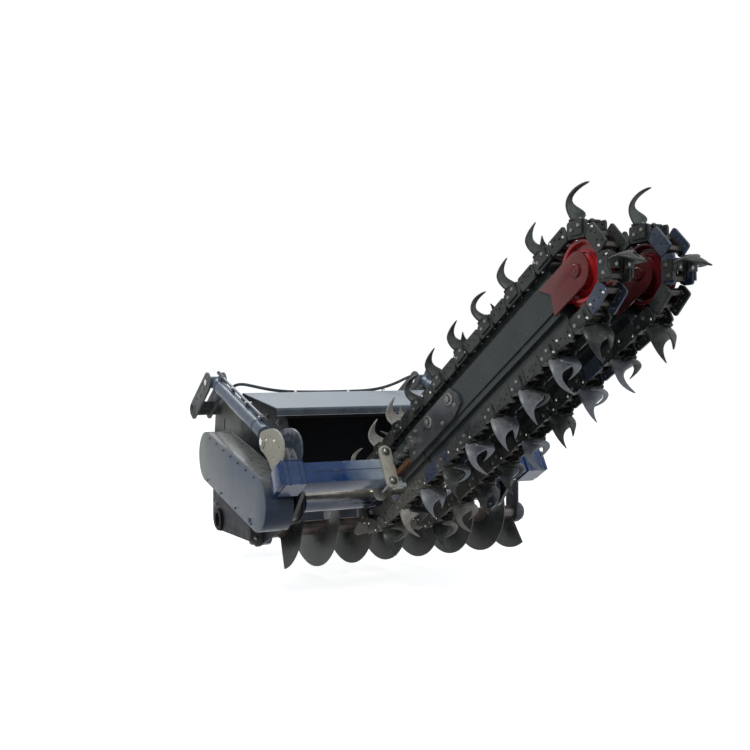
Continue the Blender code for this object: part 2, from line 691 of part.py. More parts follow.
def make_auger(case_face):
    """A tube with one left-hand flight, a journal at each end and its bearings."""
    journal = 0.026
    left_end = LEFT_SIDE - 0.030
    right_end = FLIGHT_RIGHT + 0.055
    start, stop = case_face + 0.012, FLIGHT_RIGHT + 0.004
    profile = [
        (0, 0),
        (0, journal),
        (start - left_end, journal),
        (start - left_end, AUGER_CORE_R),
        (stop - left_end, AUGER_CORE_R),
        (stop - left_end, journal),
        (right_end - left_end, journal),
        (right_end - left_end, 0),
    ]
    screw = turned("auger", profile, on_frame(left_end, *AUGER_AXIS), (1, 0, 0), WORN, 12)
    bm = bmesh.new()
    turns = (FLIGHT_RIGHT - FLIGHT_LEFT - FLIGHT_GAUGE) / AUGER_PITCH
    stations = math.ceil(turns * 12)
    rows = []
    for i in range(stations + 1):
        turn = turns * i / stations
        angle = 2 * math.pi * turn + FLIGHT_START
        x = FLIGHT_LEFT + FLIGHT_GAUGE / 2 + AUGER_PITCH * turn
        row = []
        for dx, radius in ((-1, AUGER_CORE_R - 0.006), (-1, AUGER_R), (1, AUGER_R), (1, AUGER_CORE_R - 0.006)):
            forward = AUGER_AXIS[0] - radius * math.cos(angle)
            up = AUGER_AXIS[1] + radius * math.sin(angle)
            row.append(bm.verts.new(on_frame(x + dx * FLIGHT_GAUGE / 2, forward, up)))
        rows.append(row)
    bm.faces.new(rows[0])
    bm.faces.new(rows[-1])
    for low, high in zip(rows, rows[1:]):
        for i in range(4):
            bm.faces.new((low[i], low[(i + 1) % 4], high[(i + 1) % 4], high[i]))
    boolean(screw, "UNION", add_object("auger_flight", bm, WORN))
    turned(
        "auger_bearing_left",
        [(GAP, journal + RUN), (GAP, 0.085), (0.024, 0.085), (0.048, 0.058), (0.066, 0.045), (0.066, 0), (0.034, 0), (0.034, journal + RUN)],
        on_frame(LEFT_SIDE, *AUGER_AXIS),
        (-1, 0, 0),
        BLACK,
        20,
    )
    hanger = stop + 0.006
    gauge = 0.012
    hanger_outline = arc(AUGER_AXIS, 0.070, 200, 340, 8) + [(AUGER_AXIS[0] + 0.060, 0.10), (AUGER_AXIS[0] - 0.060, 0.10)]
    plate = prism("hanger_plate", hanger_outline, hanger, hanger + gauge, on_frame, BLACK)
    rail = box("auger_hanger", (RIGHT_SIDE + GAP, hanger + gauge), (AUGER_AXIS[0] - 0.040, AUGER_AXIS[0] + 0.040), (0.04, 0.10), on_frame, SLATE)
    boolean(rail, "UNION", plate)
    boolean(rail, "DIFFERENCE", drill("hanger_bore", (hanger - 0.01, hanger + gauge + 0.01), AUGER_AXIS, journal + 0.006, on_frame))
    face = hanger + gauge
    turned(
        "auger_bearing_right",
        [(GAP, journal + RUN), (GAP, AUGER_BEARING_R), (0.030, AUGER_BEARING_R), (0.058, 0.050), (0.066, 0.030), (0.066, 0), (0.056, 0), (0.056, journal + RUN)],
        on_frame(face, *AUGER_AXIS),
        (1, 0, 0),
        SLATE,
        20,
    )


# ---------------------------------------------------------------- lift beam and arms
def make_beam():
    beam = box("lift_beam", (BEAM_LEFT, BEAM_RIGHT), (BEAM_FROM, BEAM_REAR), (BEAM_BOTTOM, BEAM_TOP), on_boom, BLUE)
    wall = BEAM_WALL
    inside = box(
        "beam_inside",
        (BEAM_LEFT + wall, BEAM_RIGHT - wall),
        (BEAM_FROM + wall, BEAM_REAR - wall),
        (BEAM_BOTTOM + wall, BEAM_TOP - wall),
        on_boom,
        BLUE,
    )
    drain = box("beam_drain", (0.30, 0.32), (BEAM_FROM - 0.01, BEAM_FROM + 0.02), (-0.01, 0.01), on_boom, BLUE)
    boolean(beam, "DIFFERENCE", inside, drain)


def lug_outline():
    """From the beam's rear edge, over the crown, round the rod eye and back to the beam's front edge."""
    crown = [(0.345, 0.075), (0.385, 0.100), (0.405, 0.150), (0.378, 0.218), (0.308, 0.276), (0.210, 0.323)]
    eye = arc(LUG_EYE, LUG_EYE_R, 100, 235, 5)
    throat = [(0.168, 0.164), (0.182, 0.110), (0.200, 0.075)]
    return crown + eye + throat


def make_lift_lugs():
    collar = 0.006
    for side, middle in LUG_MIDDLES.items():
        half = LUG_SPREAD / 2 + LUG_GAUGE / 2
        low, high = BEAM_BOTTOM - GAP, BEAM_TOP + GAP
        rear, front = BEAM_REAR + GAP, BEAM_FROM - GAP
        lug = box("lift_lug_" + side, (middle - half, middle + half), (front - collar, rear + collar), (low - collar, high + 0.012), on_boom, BEIGE)
        hole = box("lug_beam_hole_" + side, (middle - half - 0.01, middle + half + 0.01), (front, rear), (low, high), on_boom, BEIGE)
        plates = []
        for sign in (-1, 1):
            outer = middle + sign * half
            inner = outer - sign * LUG_GAUGE
            x_from, x_to = min(outer, inner), max(outer, inner)
            plates.append(prism(f"lug_plate_{side}_{sign}", lug_outline(), x_from, x_to, on_boom, BEIGE))
            # The rod pin stops short of the rod's eye on both sides: this pivot is left open.
            stub_end = middle + sign * (ROD_EYE_HALF_WIDTH + 0.002)
            reach = abs(outer + sign * 0.012 - stub_end)
            plates.append(
                turned(f"rod_stub_{side}_{sign}", bar_profile(reach, ROD_PIN_R), on_boom(stub_end, *LUG_EYE), (sign, 0, 0), STEEL, 16)
            )
        boolean(lug, "DIFFERENCE", hole)
        boolean(lug, "UNION", *plates)


def make_swing_arms():
    for side, face, sign in (("left", LEFT_SIDE, -1), ("right", RIGHT_SIDE, 1)):
        start = face + sign * (HOUSING_FLANGE_GAUGE + 0.008)
        stop = start + sign * ARM_GAUGE
        x_from, x_to = min(start, stop), max(start, stop)
        outline = arc((0, 0), HUB_R, 60, 300, 14) + [(BEAM_FROM - GAP, BEAM_BOTTOM + 0.004), (BEAM_FROM - GAP, BEAM_TOP - 0.004)]
        arm = prism("swing_arm_" + side, outline, x_from, x_to, on_boom, BLUE)
        boolean(arm, "DIFFERENCE", drill("arm_bore_" + side, (x_from - 0.01, x_to + 0.01), (0, 0), HOUSING_R + RUN, on_boom, 24))


def make_cylinders():
    pivot = on_frame(0, *CYLINDER_PIVOT)
    eye = on_boom(0, *LUG_EYE)
    along = (eye - pivot).normalized()
    distance = (eye - pivot).length
    for side, middle in LUG_MIDDLES.items():
        shift = Vector((middle, 0, 0))
        start = pivot + shift
        bore_r = ROD_R + RUN
        pin_r = ROD_PIN_R
        eye_r, eye_half = 0.036, BARREL_R
        mouth = BARREL_LENGTH
        profile = [
            (0.030, 0),
            (0.030, 0.030),
            (0.055, BARREL_R),
            (mouth - 0.004, BARREL_R),
            (mouth, BARREL_R - 0.004),
            (mouth, bore_r),
            (mouth - 0.035, bore_r),
            (mouth - 0.035, BARREL_R - 0.008),
            (0.080, BARREL_R - 0.008),
            (0.080, 0),
        ]
        barrel = turned("cylinder_barrel_" + side, profile, start, along, SLATE, 14)
        end = turned("barrel_eye_" + side, bar_profile(2 * eye_half, eye_r), start - Vector((eye_half, 0, 0)), (1, 0, 0), SLATE, 14)
        reach = eye_half + 0.004 + 0.012 + 0.010
        pin = turned("barrel_pin_" + side, bar_profile(2 * reach, pin_r), start - Vector((reach, 0, 0)), (1, 0, 0), STEEL, 12)
        boolean(barrel, "UNION", end, pin)
        piston = 0.130
        rod_profile = [
            (piston, 0),
            (piston, BARREL_R - 0.0098),
            (piston + 0.040, BARREL_R - 0.0098),
            (piston + 0.040, ROD_R),
            (distance - 0.030, ROD_R),
            (distance - 0.030, 0),
        ]
        rod = turned("cylinder_rod_" + side, rod_profile, start, along, STEEL, 12)
        half = ROD_EYE_HALF_WIDTH
        ring = turned(
            "rod_eye_" + side,
            ring_profile(2 * half, ROD_PIN_R + 0.002, 0.038),
            eye + shift - Vector((half, 0, 0)),
            (1, 0, 0),
            SLATE,
            16,
        )
        boolean(rod, "UNION", ring)


# ---------------------------------------------------------------- booms
def boom_section(middle, outer):
    """The boom's outer section: box, side rails below, wear rails above and below, as (x, square) points."""
    half, rail = BOOM_HALF_WIDTH, RAIL_HALF_WIDTH
    low_rail = BOOM_BOTTOM - SIDE_RAIL_DEPTH
    flange = half - 0.008
    section = [
        (-rail, -RAIL_TOP),
        (rail, -RAIL_TOP),
        (rail, low_rail),
        (flange, low_rail),
        (flange, BOOM_BOTTOM),
        (half, BOOM_BOTTOM),
        (half, BOOM_TOP),
        (rail, BOOM_TOP),
        (rail, RAIL_TOP),
        (-rail, RAIL_TOP),
        (-rail, BOOM_TOP),
        (-half, BOOM_TOP),
        (-half, BOOM_BOTTOM),
        (-flange, BOOM_BOTTOM),
        (-flange, low_rail),
        (-rail, low_rail),
    ]
    return [(middle + x * outer, square) for x, square in section]


def extrude_along(name, section, start, stop, material):
    bm = bmesh.new()
    near = [bm.verts.new(on_boom(x, start, square)) for x, square in section]
    face = bm.faces.new(near)
    pushed = bmesh.ops.extrude_face_region(bm, geom=[face])["geom"]
    moved = [part for part in pushed if isinstance(part, bmesh.types.BMVert)]
    bmesh.ops.translate(bm, verts=moved, vec=on_boom(0, stop, 0) - on_boom(0, start, 0))
    return add_object(name, bm, material)


def rectangle(middle, half, low, high):
    return [(middle - half, low), (middle + half, low), (middle + half, high), (middle - half, high)]


def make_boom(side, middle):
    foot_gauge = 0.012
    foot = BEAM_REAR + GAP
    base_start = foot + foot_gauge
    base_end = base_start + BASE_LENGTH
    base = extrude_along("boom_base_" + side, boom_section(middle, 1), base_start - 0.002, base_end, BLACK)
    plate = extrude_along("boom_foot_" + side, rectangle(middle, 0.105, BEAM_BOTTOM + 0.002, BEAM_TOP - 0.002), foot, base_start, BLACK)
    slack = 0.003
    inner = BOOM_HALF_WIDTH - BOOM_WALL
    tongue = extrude_along(
        "boom_tongue_" + side,
        rectangle(middle, inner - slack, BOOM_BOTTOM + BOOM_WALL + slack, BOOM_TOP - BOOM_WALL - slack),
        base_end - 0.01,
        base_end + TONGUE_LENGTH,
        BLACK,
    )
    bore = extrude_along(
        "tongue_bore_" + side,
        rectangle(middle, inner - slack - BOOM_WALL, BOOM_BOTTOM + 2 * BOOM_WALL + slack, BOOM_TOP - 2 * BOOM_WALL - slack),
        foot - 0.01,
        base_end + TONGUE_LENGTH + 0.01,
        BLACK,
    )
    boolean(base, "UNION", plate, tongue)
    boolean(base, "DIFFERENCE", bore)

    bar_start, bar_end = base_end + 0.012, BOOM_LENGTH - BAR_END
    bar = extrude_along("boom_bar_" + side, boom_section(middle, 1), bar_start, bar_end, BLACK)
    hollow = extrude_along(
        "boom_hollow_" + side,
        rectangle(middle, inner, BOOM_BOTTOM + BOOM_WALL, BOOM_TOP - BOOM_WALL),
        bar_start - 0.01,
        bar_end + 0.01,
        BLACK,
    )
    boolean(bar, "DIFFERENCE", hollow)

    # Slotted clamp plate on the outer face, which holds the bar once the chain is tight.
    sign = -1
    face = middle + sign * (BOOM_HALF_WIDTH + GAP)
    x_from, x_to = face - 0.012, face
    outline = [(0.52, BOOM_BOTTOM), (1.00, BOOM_BOTTOM), (1.09, -0.02), (1.085, 0.03), (1.03, BOOM_TOP), (0.52, BOOM_TOP)]
    clamp = prism("clamp_plate_" + side, outline, x_from, x_to, on_boom, BLACK)
    slots = []
    for i, along in enumerate((0.72, 0.95)):
        slots.append(
            prism(f"clamp_slot_{side}_{i}", capsule((along, 0.035), (along + 0.09, 0.045), 0.011, 6), x_from - 0.01, x_to + 0.01, on_boom, BLACK)
        )
    boolean(clamp, "DIFFERENCE", *slots)

    # Jacking bar, which pushes the outer bar out to tighten the chain.
    bar_face = face - GAP
    box("tension_bar_" + side, (bar_face - 0.024, bar_face - 0.004), (base_start + 0.019, 0.515), (-0.045, -0.020), on_boom, RUST)

    # Strap that clamps the boom's foot to the beam, bolted above and below it.
    strap_out = sign if side == "left" else 1
    near, far = (0.066, 0.136) if side == "left" else (0.050, 0.104)
    x_a, x_b = middle + strap_out * near, middle + strap_out * far
    x_from, x_to = min(x_a, x_b), max(x_a, x_b)
    x_mid = (x_from + x_to) / 2
    bolt_high, bolt_low = BEAM_TOP + 0.026, BEAM_BOTTOM - 0.026
    rounded = arc((x_mid, bolt_high), (x_to - x_from) / 2, 0, 180, 8) + arc((x_mid, bolt_low), (x_to - x_from) / 2, 180, 360, 8)
    strap = extrude_along("clamp_strap_" + side, rounded, base_start + GAP, base_start + 0.018, BEIGE)
    back = extrude_along("strap_back_" + side, rounded, BEAM_FROM - 0.016, BEAM_FROM - GAP, BEIGE)
    direction = on_boom(0, 1, 0) - on_boom(0, 0, 0)
    bolts = []
    for name, square in (("high", bolt_high), ("low", bolt_low)):
        start = BEAM_FROM - 0.028
        length = base_start + 0.034 - start
        bolts.append(
            turned(
                f"strap_bolt_{side}_{name}",
                [(0, 0), (0, 0.010), (length - 0.012, 0.010), (length - 0.012, 0.018), (length, 0.018), (length, 0)],
                on_boom(x_mid, start, square),
                direction,
                STEEL,
                8,
            )
        )
    boolean(strap, "UNION", *bolts, back)


def chain_track():
    """Joints of the chain's pitch line, as (along, square) points: top run, tail, bottom run, drive."""
    points = [(RUN_PAST + PITCH * k, RUN_OFFSET) for k in range(SPAN_LINKS + 1)]
    turn = [math.pi / 2 - WRAP_STEP * (k + CHAIN_PHASE) for k in range(1, WRAP_SIDES // 2)]
    points += [(BOOM_LENGTH + PITCH_R * math.cos(a), PITCH_R * math.sin(a)) for a in turn]
    count = len(points)
    points += [(BOOM_LENGTH - along, -square) for along, square in points[:count]]
    return points


def offset_track(points, distance):
    """The track moved outwards by a distance, with mitred corners."""
    moved = []
    count = len(points)
    for i, point in enumerate(points):
        before = Vector(point) - Vector(points[i - 1])
        after = Vector(points[(i + 1) % count]) - Vector(point)
        normals = [Vector((-d.y, d.x)).normalized() for d in (before, after)]
        middle = (normals[0] + normals[1]).normalized()
        moved.append(Vector(point) + middle * (distance / middle.dot(normals[0])))
    return moved


def add_cutter_horn(bm, joint, tangent, outward, x_root, x_tip):
    """One claw: a bent blade that tapers to its tip and leans forward along the chain's travel."""
    stations = [
        (0.000, -0.016, 0.030, 0.007, 0.0),
        (-CUTTER_BELLY, CUTTER_RISE * 0.4, 0.026, 0.006, 0.4),
        (0.025, CUTTER_RISE, 0.003, 0.002, 1.0),
    ]
    rows = []
    for forward, out, half_width, half_gauge, share in stations:
        x = x_root + (x_tip - x_root) * share
        centre = joint + tangent * forward + outward * out
        row = []
        for dx, df in ((-1, -1), (1, -1), (1, 1), (-1, 1)):
            spot = centre + tangent * (df * half_gauge)
            row.append(bm.verts.new(on_boom(x + dx * half_width, spot.x, spot.y)))
        rows.append(row)
    bm.faces.new(rows[0])
    bm.faces.new(rows[-1])
    for low, high in zip(rows, rows[1:]):
        for i in range(4):
            bm.faces.new((low[i], low[(i + 1) % 4], high[(i + 1) % 4], high[i]))


def make_chain(side, middle):
    """Side plates, cross pins and cutters as one loop. Travel is outward along the top run."""
    track = chain_track()
    bends = [point for point in track if not PITCH / 2 < point[0] < BOOM_LENGTH - PITCH / 2]
    inner, outer = offset_track(bends, -CHAIN_IN), offset_track(bends, CHAIN_OUT)
    bands = []
    for sign in (-1, 1):
        edge = middle + sign * CHAIN_HALF_WIDTH
        x_from, x_to = min(edge, edge - sign * CHAIN_GAUGE), max(edge, edge - sign * CHAIN_GAUGE)
        bm = bmesh.new()
        rings = [
            [bm.verts.new(on_boom(x, *point)) for point in loop]
            for x, loop in ((x_from, inner), (x_from, outer), (x_to, outer), (x_to, inner))
        ]
        count = len(bends)
        for low, high in zip(rings, rings[1:] + rings[:1]):
            for i in range(count):
                bm.faces.new((low[i], low[(i + 1) % count], high[(i + 1) % count], high[i]))
        bands.append(add_object(f"side_plates_{side}_{sign}", bm, BLACK))
    bm = bmesh.new()
    reach = CHAIN_HALF_WIDTH - CHAIN_GAUGE / 2
    for point in track:
        add_prism(bm, arc(point, CHAIN_PIN_R, 10, 310, 5), middle - reach, middle + reach, on_boom)
    pins = add_object("chain_pins_" + side, bm, STEEL)
    bm = bmesh.new()
    for i in range(1, len(track), CUTTER_EVERY):
        start, end = Vector(track[i]), Vector(track[(i + 1) % len(track)])
        tangent = (end - start).normalized()
        outward = Vector((-tangent.y, tangent.x))
        joint = (start + end) / 2 + outward * CHAIN_OUT
        # In turn: a claw on the left, a pair, a claw on the right.
        kind = (i // CUTTER_EVERY) % 3 - 1
        for sign in (-1, 1):
            if kind in (0, sign):
                root = middle + sign * (CHAIN_HALF_WIDTH - 0.014)
                tip = middle + sign * (CHAIN_HALF_WIDTH + CUTTER_FLARE)
                add_cutter_horn(bm, joint, tangent, outward, root, tip)
    cutters = add_object("chain_cutters_" + side, bm, WORN)
    chain = bands[0]
    chain.name = "digging_chain_" + side
    boolean(chain, "UNION", bands[1], pins, cutters)


def make_tail(side, middle):
    gauge, height = FORK_GAUGE, FORK_HALF_HEIGHT
    tail = BOOM_LENGTH
    notch = tail - BAR_END - 0.004
    outline = arc((tail, 0), height, 90, -90, 12)
    outline += [(tail - FORK_LENGTH + 0.035, -height), (notch, 0.012), (tail - FORK_LENGTH, height)]
    plates = []
    for sign in (-1, 1):
        outer = middle + sign * (BOOM_HALF_WIDTH + GAP + gauge)
        inner = outer - sign * gauge
        plates.append(prism(f"fork_plate_{side}_{sign}", outline, min(outer, inner), max(outer, inner), on_boom, RED))
    block = box(
        "fork_block_" + side,
        (middle - BOOM_HALF_WIDTH - 0.004, middle + BOOM_HALF_WIDTH + 0.004),
        (tail - BAR_END + 0.002, tail - BAR_END + 0.030),
        (-0.035, 0.035),
        on_boom,
        RED,
    )
    fork = plates[0]
    fork.name = "tail_fork_" + side
    span = (middle - 0.1, middle + 0.1)
    boolean(fork, "UNION", block, plates[1])
    boolean(fork, "DIFFERENCE", drill("fork_bore_" + side, span, (tail, 0), AXLE_R + GAP, on_boom))

    half, tread = WHEEL_HALF_WIDTH, TREAD_HALF_WIDTH
    hub, web = 0.044, 0.012
    bore = AXLE_R + RUN
    profile = [
        (-half - 0.006, bore),
        (-half - 0.006, hub),
        (-web, hub + 0.010),
        (-web, WHEEL_R - 0.022),
        (-half, WHEEL_R - 0.012),
        (-tread, WHEEL_R),
        (-tread, WHEEL_TREAD_R),
    ]
    profile += [(-x, r) for x, r in reversed(profile)]
    turned("tail_wheel_" + side, profile, on_boom(middle, tail, 0), (1, 0, 0), RED, 20)
    reach = BOOM_HALF_WIDTH + GAP + gauge
    head = 0.010
    turned(
        "tail_axle_" + side,
        [
            (-reach - head, 0), (-reach - head, 0.023), (-reach - GAP, 0.026), (-reach - GAP, AXLE_R),
            (reach + GAP, AXLE_R), (reach + GAP, 0.026), (reach + head, 0.023), (reach + head, 0),
        ],
        on_boom(middle, tail, 0),
        (1, 0, 0),
        RED,
        16,
    )


# ---------------------------------------------------------------- hydraulic hose
def make_hose():
    """A hose clipped across the machine along the hood's front edge, from one cylinder bracket to the other."""
    left, right = LUG_MIDDLES["left"], LUG_MIDDLES["right"]
    route = [
        (left + 0.085, 1.06, 0.52),
        (left + 0.10, 0.98, 0.60),
        (left + 0.16, 0.84, 0.585),
        (left + 0.30, 0.775, 0.547),
        (-0.25, 0.770, 0.541),
        (0.00, 0.770, 0.541),
        (0.22, 0.770, 0.547),
        (right - 0.26, 0.80, 0.605),
        (right - 0.15, 0.86, 0.645),
        (right - 0.095, 0.97, 0.60),
        (right - 0.085, 1.06, 0.52),
    ]
    points = [on_frame(*place) for place in route]
    smooth = []
    for i in range(len(points) - 1):
        before, start, end, after = (points[max(i - 1, 0)], points[i], points[i + 1], points[min(i + 2, len(points) - 1)])
        for step in range(3):
            t = step / 3
            smooth.append(
                0.5 * ((2 * start) + (end - before) * t + (2 * before - 5 * start + 4 * end - after) * t**2
                       + (3 * start - before - 3 * end + after) * t**3)
            )
    smooth.append(points[-1])
    curve = bpy.data.curves.new("hydraulic_hose", "CURVE")
    curve.dimensions = "3D"
    curve.bevel_depth = 0.010
    curve.bevel_resolution = 1
    curve.use_fill_caps = True
    spline = curve.splines.new("POLY")
    spline.points.add(len(smooth) - 1)
    for spot, place in zip(spline.points, smooth):
        spot.co = (*place, 1)
    curve.materials.append(RUBBER)
    hose = bpy.data.objects.new("hydraulic_hose", curve)
    bpy.context.scene.collection.objects.link(hose)


# ---------------------------------------------------------------- the machine
make_headstock()
make_lower_hitch("left", -1)
make_lower_hitch("right", 1)
make_mast()
make_side_plates()
make_hood()
make_front_shield()
make_rear_cross_tube()
make_pivot_housings()
make_cylinder_brackets()
make_main_case()
make_drive_shaft()
make_gearbox()
make_auger(make_auger_case())
make_beam()
make_lift_lugs()
make_swing_arms()
make_cylinders()
for boom_side, boom_middle in BOOM_MIDDLES.items():
    make_boom(boom_side, boom_middle)
    make_chain(boom_side, boom_middle)
    make_tail(boom_side, boom_middle)
make_hose()


def ride(axis_name, point, names):
    """Hangs moving pieces on an empty that stands on their joint's axis."""
    axis = bpy.data.objects.new(axis_name, None)
    axis.location = point
    bpy.context.scene.collection.objects.link(axis)
    bpy.context.view_layer.update()
    for name in names:
        item = bpy.data.objects[name]
        item.parent = axis
        item.matrix_parent_inverse = axis.matrix_world.inverted()


BOTH = ("left", "right")
BOOM_PIECES = (
    "lift_lug", "swing_arm", "boom_base", "boom_bar", "clamp_plate", "tension_bar",
    "clamp_strap", "digging_chain", "tail_fork", "tail_axle",
)
ride("lift_axis", on_frame(0, 0, 0), ["lift_beam"] + [f"{name}_{side}" for name in BOOM_PIECES for side in BOTH])
ride("drive_axis", on_frame(0, 0, 0), ["drive_shaft", "drive_sprocket_left", "drive_sprocket_right", "case_sprocket_lower"])
ride("cross_axis", on_frame(0, *CROSS_AXIS), ["cross_shaft", "case_sprocket_upper"])
ride("pto_axis", on_frame(0, *CROSS_AXIS), ["pto_shaft"])
ride("auger_axis", on_frame(0, *AUGER_AXIS), ["auger"])
for each in BOTH:
    ride("tail_axis_" + each, on_boom(BOOM_MIDDLES[each], BOOM_LENGTH, 0), ["tail_wheel_" + each])
    ride("barrel_axis_" + each, on_frame(LUG_MIDDLES[each], *CYLINDER_PIVOT), ["cylinder_barrel_" + each, "cylinder_rod_" + each])
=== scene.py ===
"""Three-point mounted double-chain trencher: hitch frame, drive line, lift beam, two chain booms and spoil auger."""

import math
import random

import bmesh
import bpy
from mathutils import Matrix, Vector


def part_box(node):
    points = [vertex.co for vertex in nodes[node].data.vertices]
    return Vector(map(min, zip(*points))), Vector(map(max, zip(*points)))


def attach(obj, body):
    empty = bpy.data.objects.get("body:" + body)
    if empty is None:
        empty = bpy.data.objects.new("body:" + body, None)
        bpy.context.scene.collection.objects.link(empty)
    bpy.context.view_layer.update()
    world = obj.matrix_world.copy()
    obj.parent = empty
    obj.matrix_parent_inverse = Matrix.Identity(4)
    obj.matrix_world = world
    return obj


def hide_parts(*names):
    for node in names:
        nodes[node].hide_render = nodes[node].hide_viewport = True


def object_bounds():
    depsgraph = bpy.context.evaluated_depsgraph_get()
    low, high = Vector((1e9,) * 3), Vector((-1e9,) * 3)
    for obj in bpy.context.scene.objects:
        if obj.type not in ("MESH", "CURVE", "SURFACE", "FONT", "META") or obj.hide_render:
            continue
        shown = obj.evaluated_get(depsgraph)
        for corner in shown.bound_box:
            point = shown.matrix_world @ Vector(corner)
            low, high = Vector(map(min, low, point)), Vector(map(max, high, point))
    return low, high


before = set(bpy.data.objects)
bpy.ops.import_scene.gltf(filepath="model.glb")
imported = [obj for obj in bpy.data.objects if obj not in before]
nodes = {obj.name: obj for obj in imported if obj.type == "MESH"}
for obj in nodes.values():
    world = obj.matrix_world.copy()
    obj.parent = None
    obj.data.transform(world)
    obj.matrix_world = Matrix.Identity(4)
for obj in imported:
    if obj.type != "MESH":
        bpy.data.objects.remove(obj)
cad_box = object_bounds()

# ---------------------------------------------------------------- camera and studio
# The machine is seen from behind and to the left, from a standing person's eye height, in its carrying position.
# Three soft round lamps stand for the sun and the light the yard throws back; the ground is pale and plain.
bpy.context.scene.view_settings.view_transform = "Standard"
EYE_POINT = (-2.6036, -6.3731, 1.0694)
TURN, DOWN, ROLL = math.radians(26.1435), math.radians(1.2444), math.radians(0.126)
camera_data = bpy.data.cameras.new("camera")
camera_data.lens, camera_data.sensor_width = 48.357, 36.0
camera = bpy.data.objects.new("camera", camera_data)
bpy.context.scene.collection.objects.link(camera)
forward = Vector((math.sin(TURN) * math.cos(DOWN), math.cos(TURN) * math.cos(DOWN), -math.sin(DOWN)))
camera.matrix_world = (
    Matrix.Translation(EYE_POINT)
    @ forward.to_track_quat("-Z", "Y").to_matrix().to_4x4()
    @ Matrix.Rotation(ROLL, 4, "Z")
)
bpy.context.scene.camera = camera

for name, place, aim, size, power, tint in (
    ("key", (-4.5, -5.5, 6.5), (0, -1.8, 0.4), 2.2, 340, (1.0, 0.965, 0.91)),
    ("fill", (4.5, -6.0, 3.0), (0, -1.8, 0.6), 4.0, 80, (0.86, 0.92, 1.0)),
    ("back", (0.5, 4.5, 6.0), (0, -1.6, 0.5), 4.0, 200, (0.92, 0.96, 1.0)),
):
    lamp = bpy.data.lights.new(name, "AREA")
    lamp.shape, lamp.size, lamp.energy, lamp.color = "DISK", size, power, tint
    item = bpy.data.objects.new(name, lamp)
    bpy.context.scene.collection.objects.link(item)
    look = (Vector(aim) - Vector(place)).to_track_quat("-Z", "Y").to_matrix().to_4x4()
    item.matrix_world = Matrix.Translation(place) @ look


def add_node(net, kind, inputs=None, **settings):
    """A shader node with its settings; each input is given a value or joined to a socket."""
    node = net.nodes.new("ShaderNode" + kind)
    for name, value in settings.items():
        setattr(node, name, value)
    for place, value in (inputs or {}).items():
        if isinstance(value, bpy.types.NodeSocket):
            net.links.new(value, node.inputs[place])
        else:
            node.inputs[place].default_value = value
    return node


def shown_rays(net):
    """1 for the rays that show the background: seen straight, in a reflection or through glass."""
    path = add_node(net, "LightPath").outputs
    seen = path["Is Camera Ray"]
    for ray in ("Is Glossy Ray", "Is Transmission Ray"):
        seen = add_node(net, "Math", {0: seen, 1: path[ray]}, operation="MAXIMUM").outputs[0]
    return seen


# The air round the machine is white to the eye.
# It lights the machine like an open sky, bright above and dim at the horizon.
world = bpy.data.worlds.new("studio")
bpy.context.scene.world = world
world.use_nodes = True
net = world.node_tree
net.nodes.clear()
heading = add_node(net, "SeparateXYZ", {0: add_node(net, "TexCoord").outputs["Generated"]})
climb = add_node(
    net, "MapRange", {"Value": heading.outputs["Z"], "From Min": 0.0, "From Max": 0.75, "To Min": 0.09, "To Max": 0.75}
)
sky = add_node(net, "Background", {"Color": (0.78, 0.88, 1.0, 1), "Strength": climb.outputs["Result"]})
white = add_node(net, "Background", {"Color": (1, 1, 1, 1)})
air = add_node(net, "MixShader", {0: shown_rays(net), 1: sky.outputs[0], 2: white.outputs[0]})
add_node(net, "OutputWorld", {"Surface": air.outputs[0]})

bm = bmesh.new()
bmesh.ops.create_circle(bm, cap_ends=True, segments=64, radius=60)
bmesh.ops.translate(bm, verts=bm.verts, vec=(0, 0, cad_box[0][2] - 0.05))
floor_data = bpy.data.meshes.new("floor")
bm.to_mesh(floor_data)
bm.free()
floor = bpy.data.objects.new("floor", floor_data)
bpy.context.scene.collection.objects.link(floor)
pale = bpy.data.materials.new("floor_pale")
pale.use_nodes = True
net = pale.node_tree
net.nodes.clear()
matt = add_node(net, "BsdfDiffuse", {"Color": (0.42, 0.415, 0.405, 1)})
glow = add_node(net, "Math", {0: shown_rays(net), 1: 0.88}, operation="MULTIPLY")
lift = add_node(net, "Emission", {"Strength": glow.outputs[0]})
both = add_node(net, "AddShader", {0: matt.outputs[0], 1: lift.outputs[0]})
add_node(net, "OutputMaterial", {"Surface": both.outputs[0]})
floor_data.materials.append(pale)


# ---------------------------------------------------------------- headstock and hitch
# A square-tube headstock with lower link lugs and an A-shaped mast, all cut from plate, welded and painted slate.
# The paint is dusty on top and a little scuffed; welds run where one plate meets the next.
def new_group(name, inputs, outputs):
    """A node group with named inputs and their first values, and named outputs."""
    group = bpy.data.node_groups.new(name, "ShaderNodeTree")
    for label, value in inputs.items():
        kind = "NodeSocketFloat" if isinstance(value, float) else "NodeSocketColor"
        group.interface.new_socket(label, in_out="INPUT", socket_type=kind).default_value = value
    for label in outputs:
        kind = "NodeSocketColor" if label == "Colour" else "NodeSocketFloat"
        group.interface.new_socket(label, in_out="OUTPUT", socket_type=kind)
    return group, group.nodes.new("NodeGroupInput").outputs, group.nodes.new("NodeGroupOutput").inputs


def add_math(net, operation, first, second, clamp=False):
    return add_node(net, "Math", {0: first, 1: second}, operation=operation, use_clamp=clamp).outputs[0]


def add_range(net, value, low, high, to_low=0.0, to_high=1.0):
    ends = {"From Min": low, "From Max": high, "To Min": to_low, "To Max": to_high}
    return add_node(net, "MapRange", {"Value": value, **ends}).outputs["Result"]


def add_blend(net, share, first, second):
    return add_node(net, "Mix", {0: share, 6: first, 7: second}, data_type="RGBA").outputs[2]


